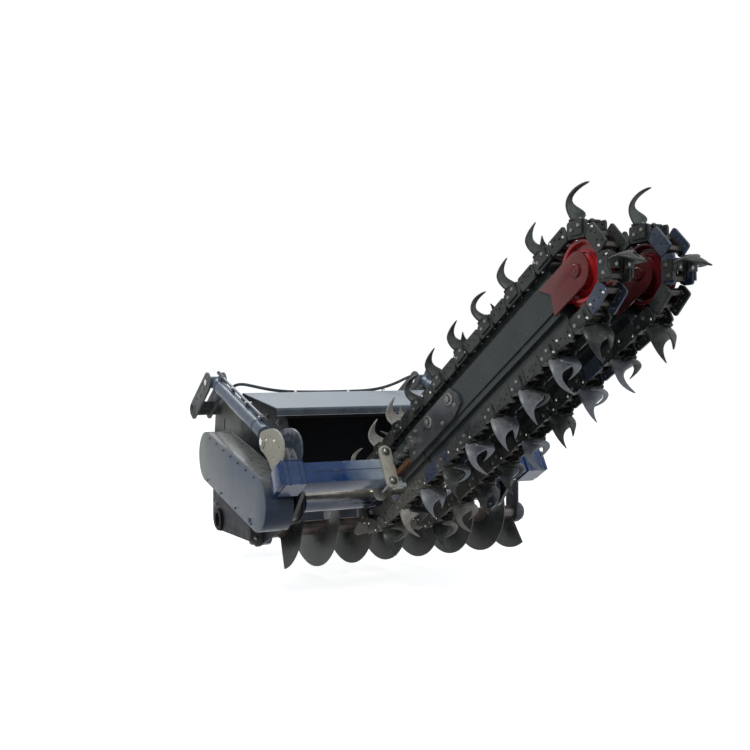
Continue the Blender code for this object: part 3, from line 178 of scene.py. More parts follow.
def add_noise(net, where, scale, detail, rough=0.5):
    return add_node(
        net, "TexNoise", {"Vector": where, "Scale": scale, "Detail": detail, "Roughness": rough}
    ).outputs["Fac"]


# Dust lies on what faces up and gathers in patches; the surface under it is mottled and a little uneven.
weather, given, result = new_group(
    "site_dust",
    {"Colour": (0.1, 0.1, 0.1, 1), "Dust": (0.3, 0.27, 0.22, 1), "Amount": 0.3, "Scale": 9.0, "Roughness": 0.45},
    ("Colour", "Roughness", "Height"),
)
where = add_node(weather, "TexCoord").outputs["Object"]
patches = add_noise(weather, where, given["Scale"], 6.0, 0.62)
mottle = add_noise(weather, where, add_math(weather, "MULTIPLY", given["Scale"], 3.7), 5.0, 0.55)
speck = add_noise(weather, where, add_math(weather, "MULTIPLY", given["Scale"], 22.0), 3.0, 0.6)
up = add_node(weather, "SeparateXYZ", {0: add_node(weather, "NewGeometry").outputs["Normal"]}).outputs["Z"]
facing = add_range(weather, up, -0.3, 0.95, 0.45, 1.0)
dusty = add_math(weather, "MULTIPLY", add_range(weather, patches, 0.38, 0.68), facing)
dusty = add_math(weather, "ADD", dusty, add_range(weather, speck, 0.58, 0.75, 0.0, 0.35))
dusty = add_math(weather, "MULTIPLY", dusty, given["Amount"], clamp=True)
shade = add_range(weather, mottle, 0.3, 0.7, 0.80, 1.18)
shaded = add_node(weather, "VectorMath", {0: given["Colour"], "Scale": shade}, operation="SCALE").outputs[0]
gloss = add_math(weather, "ADD", given["Roughness"], add_range(weather, mottle, 0.3, 0.7, -0.06, 0.08))
dull = add_math(weather, "ADD", gloss, add_math(weather, "MULTIPLY", dusty, 0.35), clamp=True)
weather.links.new(add_blend(weather, dusty, shaded, given["Dust"]), result["Colour"])
weather.links.new(dull, result["Roughness"])
weather.links.new(mottle, result["Height"])

# Knocks leave small chips and thin scratches, which show the metal or primer underneath.
knocks, given, result = new_group("knocks", {"Scale": 14.0, "Chips": 0.3, "Scratches": 0.3}, ("Mask",))
where = add_node(knocks, "TexCoord").outputs["Object"]
chips = add_range(knocks, add_noise(knocks, where, given["Scale"], 8.0, 0.7), 0.66, 0.69)
stretch = add_node(knocks, "Mapping", {"Vector": where, "Scale": (2.0, 9.0, 30.0), "Rotation": (0.5, 0.4, 0.9)})
lines = add_range(knocks, add_noise(knocks, stretch.outputs[0], given["Scale"], 2.0), 0.69, 0.72)
thin = add_math(knocks, "MULTIPLY", lines, given["Scratches"])
marks = add_math(knocks, "ADD", add_math(knocks, "MULTIPLY", chips, given["Chips"]), thin, clamp=True)
knocks.links.new(marks, result["Mask"])


def finish(name, colour, roughness, metallic=0.0, coat=0.0, dust=(0.30, 0.28, 0.23), dusting=0.25, scale=9.0,
           chips=0.0, scratches=0.0, bare=(0.30, 0.29, 0.27), bump=0.0, fades=()):
    """A paint or a metal under site dust.

    Each fade is (axis, from, to, colour, most): a second colour that comes in along an axis.
    """
    material = bpy.data.materials.new(name)
    material.use_nodes = True
    net = material.node_tree
    shader = net.nodes["Principled BSDF"].inputs
    shader["Metallic"].default_value = metallic
    shader["Coat Weight"].default_value = coat
    shader["Coat Roughness"].default_value = 0.12
    shader["Specular IOR Level"].default_value = 0.12
    tone = (*colour, 1.0)
    if fades:
        place = add_node(net, "SeparateXYZ", {0: add_node(net, "TexCoord").outputs["Object"]}).outputs
        for axis, start, end, other, most in fades:
            tone = add_blend(net, add_range(net, place[axis], start, end, 0.0, most), tone, (*other, 1.0))
    soil = {"Colour": tone, "Dust": (*dust, 1.0), "Amount": dusting, "Scale": scale, "Roughness": roughness}
    dirt = add_node(net, "Group", soil, node_tree=weather).outputs
    top = dirt["Colour"]
    if chips or scratches:
        wear = {"Scale": scale * 1.6, "Chips": chips, "Scratches": scratches}
        mask = add_node(net, "Group", wear, node_tree=knocks).outputs["Mask"]
        top = add_blend(net, mask, top, (*bare, 1.0))
    net.links.new(top, shader["Base Color"])
    net.links.new(dirt["Roughness"], shader["Roughness"])
    if bump:
        relief = add_node(net, "Bump", {"Strength": bump, "Distance": 0.002, "Height": dirt["Height"]})
        net.links.new(relief.outputs["Normal"], shader["Normal"])
    return material


slate = finish("slate_paint", (0.060, 0.078, 0.110), 0.34, coat=0.25, dusting=0.16, chips=0.5, scratches=0.4, bump=0.15)
steel = finish("bright_steel", (0.60, 0.59, 0.57), 0.26, metallic=1.0, dusting=0.12, scale=25, bump=0.1)
weld_metal = finish("weld_bead", (0.045, 0.060, 0.095), 0.38, dusting=0.10, scale=40, bump=0.3)
drive_mid = sum(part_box("drive_sprocket_left"), Vector()) / 2
DRIVE = Vector((0, drive_mid.y, drive_mid.z))
TAIL = sum(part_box("tail_wheel_left"), Vector()) / 2
RISE = math.atan2(TAIL.z - DRIVE.z, DRIVE.y - TAIL.y)
TO_LEFT, TO_RIGHT = (-1, 0, 0), (1, 0, 0)
on_frame = Matrix.Translation(DRIVE)
on_boom = on_frame @ Matrix((
    (1, 0, 0, 0), (0, -math.cos(RISE), math.sin(RISE), 0), (0, math.sin(RISE), math.cos(RISE), 0), (0, 0, 0, 1),
))


def repaint(material, *names):
    for name in names:
        nodes[name].material_slots[0].material = material


def break_edges(bm, rims, width, segments):
    """Takes the sharpness off the given edges."""
    bmesh.ops.bevel(bm, geom=rims, offset=width, offset_type="OFFSET", segments=segments, profile=0.5,
                    affect="EDGES", material=-1, clamp_overlap=True)


def put(name, bm, place, materials, body, stands_for=(), edge=0.0, sharp=32):
    """Closes a mesh, sets it in its place and hangs it on its body."""
    if edge:
        break_edges(
            bm, [e for e in bm.edges if len(e.link_faces) == 2 and e.calc_face_angle(0) > math.radians(50)], edge, 2
        )
    bm.transform(place)
    bmesh.ops.recalc_face_normals(bm, faces=bm.faces)
    mesh = bpy.data.meshes.new(name)
    bm.to_mesh(mesh)
    bm.free()
    for material in materials:
        mesh.materials.append(material)
    mesh.shade_smooth()
    mesh.set_sharp_from_angle(angle=math.radians(sharp))
    item = bpy.data.objects.new(name, mesh)
    bpy.context.scene.collection.objects.link(item)
    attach(item, body)
    if stands_for:
        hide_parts(*stands_for)


def cylinder(bm, start, axis, length, radius, index=0, steps=24, end_radius=None):
    """A round bar from a point along an axis; six steps make a hexagon."""
    axis = Vector(axis).normalized()
    turn = Matrix.Translation(Vector(start) + axis * length / 2) @ axis.to_track_quat("Z", "Y").to_matrix().to_4x4()
    made = bmesh.ops.create_cone(
        bm, cap_ends=True, cap_tris=False, segments=steps, radius1=radius,
        radius2=radius if end_radius is None else end_radius, depth=length, matrix=turn,
    )["verts"]
    for face in {f for v in made for f in v.link_faces}:
        face.material_index = index


def bolt(bm, at, axis, radius, index=0, washer=True):
    """A hexagon head on its washer, with the corners of the head taken off."""
    at, axis = Vector(at), Vector(axis).normalized()
    base = 0.0
    if washer:
        cylinder(bm, at, axis, radius * 0.30, radius * 1.55, index, 16)
        base = radius * 0.28
    cylinder(bm, at + axis * base, axis, radius * 0.75, radius * 1.08, index, 6)
    cylinder(bm, at + axis * (base + radius * 0.74), axis, radius * 0.16, radius * 1.04, index, 6, radius * 0.78)
    cylinder(bm, at + axis * (base + radius * 0.85), axis, radius * 0.35, radius * 0.52, index, 10, radius * 0.42)


chance = random.Random(7)


def weld(bm, start, end, radius):
    """A bead of overlapping drops."""
    start, end = Vector(start), Vector(end)
    count = max(2, int((end - start).length / (radius * 0.95)))
    for i in range(count + 1):
        spot, size = start.lerp(end, i / count), radius * chance.uniform(0.85, 1.15)
        bmesh.ops.create_icosphere(bm, subdivisions=1, radius=size, matrix=Matrix.Translation(spot))


def bolt_circle(bm, centre, radius, count, first, side, size, index=0):
    """Equal bolts round a centre, their heads facing along X."""
    for i in range(count):
        a = math.radians(360 / count * i + first)
        spot = (centre[0], centre[1] + radius * math.cos(a), centre[2] + radius * math.sin(a))
        bolt(bm, spot, (side, 0, 0), size, index)


def turned(bm, profile, start, axis, steps=48, index=0):
    """Spins (distance, radius) points about the line from start; a profile off the axis is closed into a loop."""
    axis = Vector(axis).normalized()
    across = axis.orthogonal().normalized()
    points = [bm.verts.new(Vector(start) + axis * d + across * r) for d, r in profile]
    ring = profile[0][1] > 1e-6 and profile[-1][1] > 1e-6
    edges = [bm.edges.new(pair) for pair in zip(points, points[1:] + (points[:1] if ring else []))]
    before = set(bm.faces)
    bmesh.ops.spin(bm, geom=points + edges, cent=start, axis=axis, angle=2 * math.pi, steps=steps, use_merge=True)
    fresh = [f for f in bm.faces if f not in before]
    bmesh.ops.remove_doubles(bm, verts=list(dict.fromkeys(v for f in fresh for v in f.verts)), dist=2e-5)
    for face in [f for f in bm.faces if f not in before]:
        face.material_index = index


def ring(bm, inner, outer, length, start, axis, steps=40):
    """A tube or a collar with square-cut ends."""
    turned(bm, [(0, inner), (0, outer), (length, outer), (length, inner)], start, axis, steps)


def push_out(bm, faces, distance):
    """Gives flat faces a thickness along X."""
    pushed = bmesh.ops.extrude_face_region(bm, geom=faces)["geom"]
    bmesh.ops.translate(bm, verts=[g for g in pushed if isinstance(g, bmesh.types.BMVert)], vec=(distance, 0, 0))
    return [g for g in pushed if isinstance(g, bmesh.types.BMFace)]


def outline_edges(bm, loop, x):
    spots = [bm.verts.new((x, a, b)) for a, b in loop]
    return [bm.edges.new(pair) for pair in zip(spots, spots[1:] + spots[:1])]


def plate(bm, outline, holes, x_from, x_to, index=0, steps=14):
    """A flat plate cut to an outline of (along, up) points with round holes, pushed out along X."""
    loops = [outline] + [
        [(a + r * math.cos(2 * math.pi * i / steps), b + r * math.sin(2 * math.pi * i / steps)) for i in range(steps)]
        for a, b, r in holes
    ]
    edges = [edge for loop in loops for edge in outline_edges(bm, loop, x_from)]
    filled = bmesh.ops.triangle_fill(bm, use_beauty=True, use_dissolve=False, edges=edges)["geom"]
    faces = [g for g in filled if isinstance(g, bmesh.types.BMFace)]
    pushed = push_out(bm, faces, x_to - x_from)
    for face in {*faces, *pushed, *(f for e in edges for f in e.link_faces)}:
        face.material_index = index


def arc(centre, radius, start, end, steps):
    return [
        (centre[0] + radius * math.cos(math.radians(start + (end - start) * i / steps)),
         centre[1] + radius * math.sin(math.radians(start + (end - start) * i / steps)))
        for i in range(steps + 1)
    ]


def capsule(low, high, radius, steps=14):
    lean = math.degrees(math.atan2(high[1] - low[1], high[0] - low[0]))
    return arc(low, radius, lean + 90, lean + 270, steps) + arc(high, radius, lean - 90, lean + 90, steps)


def block(bm, x_range, a_range, b_range):
    """A rectangular bar between two corners."""
    size = [high - low for low, high in (x_range, a_range, b_range)]
    middle = [(high + low) / 2 for low, high in (x_range, a_range, b_range)]
    return bmesh.ops.create_cube(bm, size=1, matrix=Matrix.Translation(middle) @ Matrix.Diagonal((*size, 1)))["verts"]


repaint(slate, "headstock_beam", "hitch_lug_left", "hitch_lug_right", "top_link_mast")
repaint(steel, "top_link_pin")
low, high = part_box("headstock_beam")
mast_low, mast_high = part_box("top_link_mast")
bm = bmesh.new()
for side in (-1, 1):
    lug_low, lug_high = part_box("hitch_lug_" + ("left" if side < 0 else "right"))
    inner = lug_low.x if side > 0 else lug_high.x
    for x in (inner, inner + side * 0.020):
        weld(bm, (x, high.y + 0.003, low.z + 0.006), (x, high.y + 0.003, high.z - 0.006), 0.005)
for y in (mast_low.y, mast_high.y):
    weld(bm, (mast_low.x, y, mast_low.z + 0.002), (mast_high.x, y, mast_low.z + 0.002), 0.005)
put("hitch_welds", bm, Matrix(), [weld_metal], "frame")
bm = bmesh.new()
for side in (-1, 1):
    lug_low, lug_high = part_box("hitch_lug_" + ("left" if side < 0 else "right"))
    outermost = max(abs(lug_low.x), abs(lug_high.x))
    pin_at = Vector((side * (outermost - 0.016), lug_high.y - 0.036, (lug_low.z + lug_high.z) / 2))
    cylinder(bm, pin_at + Vector((0, 0, -0.034)), (0, 0, 1), 0.062, 0.0035, 0, 12)
    ring(bm, 0.011, 0.018, 0.007, pin_at + Vector((0, -0.0035, 0.030)), (0, 1, 0), 20)
pin_low, pin_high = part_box("top_link_pin")
pin_mid = (pin_low + pin_high) / 2
cylinder(bm, (pin_high.x - 0.008, pin_mid.y, pin_mid.z - 0.03), (0, 0, 1), 0.055, 0.003, 0, 12)
put("linch_pins", bm, Matrix(), [steel], "frame")

# ---------------------------------------------------------------- side plates, hood and tubes
# Two cut side plates join the headstock to the drive axis, with a folded sheet hood and a spoil wall between them.
# Painted slate; bolt rows hold the hood's edge, and a ring is welded round the lower link's socket.
bolt_dark = finish("plated_bolt", (0.20, 0.20, 0.20), 0.34, metallic=0.85, dusting=0.25, scale=45, bump=0.1)
# The hood's lip below the top fold is painted darker as shade, and a thin pale strip along the lip's bottom edge is a
# painted highlight on partly worn paint.
hood_paint_and_painted_light = finish(
    "hood_paint_and_painted_light", (0.150, 0.185, 0.230), 0.34, coat=0.12, dust=(0.28, 0.28, 0.24), dusting=0.40, scale=2.6,
    scratches=0.3,
    fades=[
        ("Z", DRIVE.z + 0.484, DRIVE.z + 0.470, (0.035, 0.047, 0.066), 1.0),
        ("Z", DRIVE.z + 0.4452, DRIVE.z + 0.4435, (0.36, 0.37, 0.38), 0.8)
    ]
)
dark_inside = finish(
    "shaded_paint", (0.004, 0.005, 0.007), 0.6, dust=(0.018, 0.017, 0.015), dusting=0.25, scale=5, chips=0.2, bump=0.2
)
# The left side plate is a near-black copy of the frame paint, its dust darkened with it: painted shade. Along the top
# of its forward part it turns pale.
side_painted_shade = finish(
    "side_painted_shade", (0.012, 0.015, 0.021), 0.5, dust=(0.05, 0.047, 0.04), dusting=0.25, scale=5, chips=0.2, bump=0.2,
    fades=[
        ("Z", DRIVE.z + 0.27, DRIVE.z + 0.32, (0.24, 0.24, 0.215), 0.85),
        ("Y", DRIVE.y + 0.92, DRIVE.y + 0.84, (0.012, 0.015, 0.021), 1.0)
    ]
)
for material, name in (
    (slate, "frame_side_right"), (hood_paint_and_painted_light, "hood_cover"), (dark_inside, "front_shield"),
    (side_painted_shade, "frame_side_left")
):
    repaint(material, name)
LEFT_FACE, RIGHT_FACE = -0.655, 0.552
socket_at = Vector((LEFT_FACE, 1.30, -0.29))
bm = bmesh.new()
turned(bm, [(0, 0.045), (0, 0.070), (0.014, 0.070), (0.018, 0.066), (0.018, 0.045)], socket_at, TO_LEFT, 40)
ring(bm, 0.030, 0.043, 0.036, socket_at + Vector((0.030, 0, 0)), TO_LEFT, 32)
for start in (45, 135, 225, 315):
    first, last = (
        socket_at + Vector((-0.002, 0.071 * math.cos(a), 0.071 * math.sin(a)))
        for a in (math.radians(start), math.radians(start) + 0.5)
    )
    weld(bm, first, last, 0.004)
put("socket_ring", bm, on_frame, [dark_inside], "frame")
bm = bmesh.new()
for face, sign in ((LEFT_FACE, -1), (RIGHT_FACE, 1)):
    for spot in ((0.24, 0.40), (0.42, 0.42), (0.60, 0.44), (1.30, 0.20), (1.36, 0.05), (1.38, -0.20)):
        bolt(bm, (face, *spot), (sign, 0, 0), 0.010)
for i in range(9):
    bolt(bm, (-0.60 + 1.10 * i / 8, 0.725, 0.520), (0, 0.74, 0.67), 0.007)
put("frame_bolts", bm, on_frame, [bolt_dark], "frame")
bm = bmesh.new()
for face, sign in ((LEFT_FACE, -1), (RIGHT_FACE, 1)):
    inner = face - sign * 0.012
    for x, low, high, radius in (
        (inner, (0.685, 0.07), (0.685, 0.53), 0.004), (inner, (1.325, -0.345), (1.325, -0.235), 0.006),
        (face, (1.20, 0.36), (1.20, 0.30), 0.005)
    ):
        weld(bm, (x, *low), (x, *high), radius)
put("frame_welds", bm, on_frame, [weld_metal], "frame")

# The cross tube carries the cylinder brackets on its ends; it is open, with a thick wall.
LUG_MIDDLES = {"left": -0.7715, "right": 0.6615}
PIVOT, TUBE = (1.02, 0.60), (1.31, 0.42)
tube_low, tube_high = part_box("bracket_cross_tube")
bracket_grey = finish(
    "bracket_grey", (0.085, 0.090, 0.092), 0.5, dust=(0.30, 0.29, 0.26), dusting=0.45, scale=12, chips=0.5, bump=0.25
)
bm = bmesh.new()
ring(bm, 0.030, 0.0375, tube_high.x - tube_low.x, (tube_low.x, *TUBE), TO_RIGHT)
put("cross_tube_round", bm, on_frame, [bracket_grey], "frame", ["bracket_cross_tube"])
bm = bmesh.new()
ring(bm, 0.028, 0.035, 1.18, (-0.6405, 0.56, 0.43), TO_RIGHT)
put("rear_tube_round", bm, on_frame, [dark_inside], "frame", ["rear_cross_tube"])
for side, middle in LUG_MIDDLES.items():
    bm = bmesh.new()
    for sign in (-1, 1):
        face = middle + sign * 0.044
        plate(
            bm, capsule(PIVOT, TUBE, 0.060, 18),
            [(*TUBE, 0.0385), (*PIVOT, 0.020), (1.10, 0.585, 0.008), (1.22, 0.49, 0.008)], face, face + sign * 0.012,
            steps=28
        )
    block(bm, (middle - 0.046, middle + 0.046), (1.2055, 1.2175), (0.425, 0.475))
    put(
        f"bracket_plates_{side}", bm, on_frame, [bracket_grey], "frame", ["cylinder_bracket_" + side],
        edge=0.0012
    )
    bm = bmesh.new()
    for sign in (-1, 1):
        face = middle + sign * 0.056
        turned(bm, [(0, 0.0385), (0, 0.047), (0.006, 0.045), (0.010, 0.0385)], (face, *TUBE), (sign, 0, 0), 32)
        for spot, size in (((1.155, 0.515), 0.009), ((1.080, 0.560), 0.007)):
            bolt(bm, (face, *spot), (sign, 0, 0), size, 1)
    put(f"bracket_collars_{side}", bm, on_frame, [bracket_grey, bolt_dark], "frame")

# ---------------------------------------------------------------- main chain case
# A welded sheet case over the primary chain; its outer face is a flat cover, bolted on through a folded rim.
# Slate paint, deeper blue and glossier round the low end, with dust along the top.
case_paint = finish(
    "case_paint", (0.052, 0.073, 0.110), 0.36, coat=0.08, dust=(0.30, 0.29, 0.25), dusting=0.34, scale=5.0, chips=0.3,
    scratches=0.4, bump=0.12, fades=[("Y", DRIVE.y + 0.40, DRIVE.y + 0.90, (0.145, 0.155, 0.148), 0.85)]
)
rim_paint = finish("rim_blue", (0.006, 0.016, 0.048), 0.28, coat=0.15, dust=(0.18, 0.18, 0.16), dusting=0.18, scale=6.0,
                   fades=[("Z", DRIVE.z + 0.06, DRIVE.z + 0.17, (0.16, 0.16, 0.15), 0.85)])
CASE_LEFT, CASE_RIGHT, UPPER, CASE_RADIUS = -0.872, -0.717, (0.88, 0.163), 0.146
shell = capsule((0, 0), UPPER, CASE_RADIUS, 36)
bm = bmesh.new()
plate(bm, shell, [], CASE_LEFT, CASE_LEFT + 0.006)
put("case_cover", bm, on_frame, [case_paint], "frame", ["chain_case_cover"], edge=0.0022)
bm = bmesh.new()
plate(bm, shell, [(0, 0, 0.039), (*UPPER, 0.0265)], CASE_RIGHT - 0.006, CASE_RIGHT, steps=28)
edges = [
    edge for loop in (shell, capsule((0, 0), UPPER, CASE_RADIUS - 0.006, 36)) for edge in outline_edges(
        bm, loop, CASE_LEFT + 0.0063
    )
]
push_out(bm, bmesh.ops.bridge_loops(bm, edges=edges)["faces"], CASE_RIGHT - 0.0055 - CASE_LEFT - 0.0063)
put("case_rim", bm, on_frame, [rim_paint], "frame", ["chain_case"], edge=0.0018)
bm = bmesh.new()
lean = math.atan2(UPPER[1], UPPER[0])
for i in range(7):
    share = 0.06 + 0.88 * i / 6
    for off in (-0.128, 0.128) if i % 2 == 0 else (0.128,):
        spot = (share * UPPER[0] - off * math.sin(lean), share * UPPER[1] + off * math.cos(lean))
        bolt(bm, (CASE_LEFT + 0.0005, *spot), TO_LEFT, 0.0055)
cylinder(bm, (CASE_LEFT + 0.0005, 0.10, -0.10), TO_LEFT, 0.007, 0.012, 0, 6)
put("case_bolts", bm, on_frame, [case_paint], "frame")
worn_steel = finish(
    "worn_steel", (0.13, 0.13, 0.125), 0.42, metallic=0.75, dust=(0.24, 0.21, 0.17), dusting=0.35, scale=14, chips=0.3,
    bump=0.3
)
repaint(worn_steel, "case_sprocket_lower", "case_sprocket_upper", "drive_sprocket_left", "drive_sprocket_right")

# ---------------------------------------------------------------- gearbox and power take-off
# A cast gearbox on the cross shaft, with ribs, a bolted cover and a filler plug.
# The splined stub turns inside a bell guard.
cast = finish("cast_iron_paint", (0.055, 0.070, 0.098), 0.5, dusting=0.35, scale=22, chips=0.3, bump=0.6)
plastic = finish("guard_plastic", (0.018, 0.018, 0.019), 0.5, dusting=0.3, scale=16, bump=0.15)
for material, name in ((cast, "gearbox_housing"), (slate, "auger_case"), (steel, "cross_shaft")):
    repaint(material, name)
half_x, half_y, half_z = 0.125, 0.135, 0.125
mid_y, mid_z = UPPER
bm = bmesh.new()
for x in (-0.085, -0.03, 0.03, 0.085):
    for bottom in (mid_z + half_z, mid_z - half_z - 0.012):
        block(bm, (x - 0.006, x + 0.006), (mid_y - half_y + 0.01, mid_y + half_y - 0.01), (bottom, bottom + 0.012))
turned(bm, [(0, 0.050), (0, 0.092), (0.016, 0.092), (0.022, 0.070), (0.022, 0.050)], (-half_x, *UPPER), TO_LEFT, 40)
bolt_circle(bm, (-half_x - 0.016, *UPPER), 0.081, 6, 30, -1, 0.006, 1)
bolt_circle(bm, (half_x + 0.012, *UPPER), 0.070, 6, 30, 1, 0.007, 1)
turned(bm, [(0, 0), (0, 0.088), (0.012, 0.088), (0.020, 0.050), (0.020, 0)], (half_x, *UPPER), TO_RIGHT, 40)
cylinder(bm, (0.07, mid_y + 0.07, mid_z + half_z), (0, 0, 1), 0.022, 0.013, 1, 6)
put("gearbox_casting", bm, on_frame, [cast, bolt_dark], "frame")
guard_low, guard_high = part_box("pto_guard")
length = guard_high.y - guard_low.y
bm = bmesh.new()
turned(
    bm,
    [
        (0, 0.056), (0, 0.060), (length * 0.25, 0.064), (length * 0.8, 0.075), (length, 0.078), (length, 0.074),
        (length * 0.8, 0.071), (length * 0.25, 0.060)
    ],
    (0, guard_low.y - DRIVE.y, mid_z), (0, 1, 0), 48
)
put("pto_guard_bell", bm, on_frame, [plastic], "frame", ["pto_guard"])
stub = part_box("pto_shaft")[1].y - DRIVE.y - mid_y
bm = bmesh.new()
turned(
    bm,
    [
        (0.040, 0), (0.040, 0.024), (0.070, 0.042), (0.082, 0.042), (0.082, 0.0155), (stub - 0.003, 0.0155),
        (stub, 0.013), (stub, 0)
    ],
    (0, mid_y, mid_z), (0, 1, 0), 36
)
for i in range(6):
    a = math.radians(60 * i)
    spline = block(bm, (-0.0023, 0.0023), (mid_y + stub - 0.075, mid_y + stub - 0.002), (-0.0040, 0.0040))
    bmesh.ops.rotate(bm, verts=spline, cent=(0, 0, 0), matrix=Matrix.Rotation(-a, 3, "Y"))
    bmesh.ops.translate(bm, verts=spline, vec=(0.013224 * math.cos(a), 0, 0.013224 * math.sin(a) + mid_z))
put("pto_splines", bm, on_frame, [steel], "pto_shaft", ["pto_shaft"])
cross_low, cross_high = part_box("cross_shaft_tube")
bm = bmesh.new()
ring(bm, 0.0265, 0.045, cross_high.x - cross_low.x, (cross_low.x, *UPPER), TO_RIGHT)
put("cross_tube_cover", bm, on_frame, [slate], "frame", ["cross_shaft_tube"])

# ---------------------------------------------------------------- spoil auger
# One long flight of rolled plate, wound and welded on a tube and scratched by soil; stretches along it are painted
# lighter and darker as highlight and shade on its lobes.
# It runs in a bolted flange bearing on the left and a capped hub on a hanger plate on the right.
AUGER = (0.56, -0.25)
# The fades along X paint a lighter stretch and darker ones on the flight: painted highlight and shade on the lobes.
flight_metal = finish(
    "flight_metal", (0.050, 0.055, 0.056), 0.36, metallic=0.45, dust=(0.14, 0.13, 0.11), dusting=0.45, scale=6.0,
    chips=0.3, scratches=0.6, bare=(0.30, 0.29, 0.27), bump=0.25,
    fades=[
        ("X", -0.10, -0.34, (0.125, 0.135, 0.128), 0.80), ("X", -0.405, -0.425, (0.030, 0.038, 0.038), 0.9),
        ("X", -0.05, 0.10, (0.085, 0.092, 0.088), 0.8)
    ]
)
tube_metal = finish(
    "auger_tube", (0.105, 0.10, 0.098), 0.36, metallic=0.6, dust=(0.30, 0.17, 0.11), dusting=0.6, scale=12, chips=0.4,
    bump=0.25
)
auger_low, auger_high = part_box("auger")
LEFT_END, whole = auger_low.x, auger_high.x - auger_low.x
tube_start, tube_stop = -0.5857 - LEFT_END, 1.074 - LEFT_END
bm = bmesh.new()
turned(
    bm,
    [
        (0, 0), (0, 0.026), (tube_start, 0.026), (tube_start, 0.042), (tube_stop, 0.042), (tube_stop, 0.026),
        (whole, 0.026), (whole, 0)
    ],
    (LEFT_END, *AUGER), TO_RIGHT, 48, 1
)
FLIGHT_LEFT, FLIGHT_RIGHT, LEAD, GAUGE, BEGIN = -0.53, 1.07, 0.226, 0.007, math.radians(-69)
turns = (FLIGHT_RIGHT - FLIGHT_LEFT - GAUGE) / LEAD
per_turn = 56
count = round(turns * per_turn)
rim_points = [
    bm.verts.new((FLIGHT_LEFT, AUGER[0] - r * math.cos(BEGIN), AUGER[1] + r * math.sin(BEGIN))) for r in (
        0.036, 0.085, 0.135, 0.185, 0.222, 0.228
    )
]
rim_edges = [bm.edges.new(pair) for pair in zip(rim_points, rim_points[1:])]
before = set(bm.faces)
bmesh.ops.spin(
    bm, geom=rim_points + rim_edges, cent=(0, *AUGER), axis=TO_RIGHT, angle=-2 * math.pi * count / per_turn,
    steps=count, dvec=((FLIGHT_RIGHT - FLIGHT_LEFT - GAUGE) / count, 0, 0), use_merge=False, use_duplicate=False
)
push_out(bm, [f for f in bm.faces if f not in before], GAUGE)
put("auger_screw", bm, on_frame, [flight_metal, tube_metal], "auger", ["auger"], sharp=40)
bm = bmesh.new()
for turn_share in range(int(turns * 20)):
    a = BEGIN + 2 * math.pi * turn_share / 20
    x = FLIGHT_LEFT + LEAD * turn_share / 20
    spot = Vector((x - 0.003, AUGER[0] - 0.043 * math.cos(a), AUGER[1] + 0.043 * math.sin(a)))
    bmesh.ops.create_icosphere(
        bm, subdivisions=1, radius=0.0065, matrix=Matrix.Translation(spot) @ Matrix.Scale(1.5, 4, (0, 1, 0))
    )
put("auger_welds", bm, on_frame, [tube_metal], "auger")
black_cast = finish(
    "bearing_casting", (0.020, 0.021, 0.022), 0.5, dust=(0.12, 0.11, 0.09), dusting=0.55, scale=18, chips=0.4, bump=0.8
)
bm = bmesh.new()
turned(
    bm,
    [
        (0.0003, 0.0268), (0.0003, 0.085), (0.020, 0.085), (0.026, 0.078), (0.046, 0.060), (0.064, 0.047),
        (0.066, 0.040), (0.066, 0), (0.034, 0), (0.034, 0.0268)
    ],
    (-0.655, *AUGER), TO_LEFT, 40
)
for i in range(4):
    a = math.radians(90 * i + 20)
    boss = (-0.679, AUGER[0] + 0.066 * math.cos(a), AUGER[1] + 0.066 * math.sin(a))
    cylinder(bm, boss, TO_LEFT, 0.016, 0.017, 0, 20, 0.014)
    bolt(bm, (-0.693, *boss[1:]), TO_LEFT, 0.009, 1)
put("bearing_flange_left", bm, on_frame, [black_cast, bolt_dark], "frame", ["auger_bearing_left"])
hub_paint = finish(
    "hub_slate", (0.060, 0.068, 0.090), 0.36, coat=0.2, dust=(0.24, 0.22, 0.19), dusting=0.4, scale=16, chips=0.4,
    bump=0.3
)
hub_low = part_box("auger_bearing_right")[0]
bm = bmesh.new()
turned(
    bm,
    [
        (0, 0.0268), (0, 0.066), (0.004, 0.068), (0.022, 0.068), (0.026, 0.063), (0.031, 0.063), (0.048, 0.056),
        (0.052, 0.046), (0.058, 0.045), (0.063, 0.034), (0.066, 0.018), (0.066, 0), (0.056, 0), (0.056, 0.0268)
    ],
    (hub_low.x, *AUGER), TO_RIGHT, 48
)
bolt_circle(bm, (hub_low.x + 0.026, *AUGER), 0.057, 4, 45, 1, 0.006, 1)
put("bearing_hub_right", bm, on_frame, [hub_paint, bolt_dark], "frame", ["auger_bearing_right"])
hanger_paint = finish(
    "hanger_paint", (0.022, 0.028, 0.040), 0.4, coat=0.2, dusting=0.3, scale=9, chips=0.5, scratches=0.4, bump=0.2
)
repaint(hanger_paint, "auger_hanger")

# ---------------------------------------------------------------- drive shaft and its housings
# A turned shaft with painted sleeves between the booms.
# The swing arms ride on flanged housings bolted to the side plates.
# The tan upper half of the sleeves is partly dust and partly a painted reflection of warm light on the gloss paint.
sleeve = finish(
    "sleeve_gloss", (0.018, 0.030, 0.062), 0.14, metallic=0.55, coat=0.8, dust=(0.35, 0.31, 0.24), dusting=0.22,
    scale=7, scratches=0.5, fades=[("Z", DRIVE.z - 0.005, DRIVE.z + 0.030, (0.42, 0.40, 0.34), 0.85)]
)
bm = bmesh.new()
steps = [
    (-0.817, 0.035), (-0.615, 0.035), (-0.615, 0.060), (-0.613, 0.062), (-0.172, 0.062), (-0.172, 0.050),
    (-0.136, 0.050), (-0.136, 0.062), (0.136, 0.062), (0.136, 0.050), (0.172, 0.050), (0.172, 0.062), (0.510, 0.062),
    (0.512, 0.060), (0.512, 0.035), (0.610, 0.035)
]
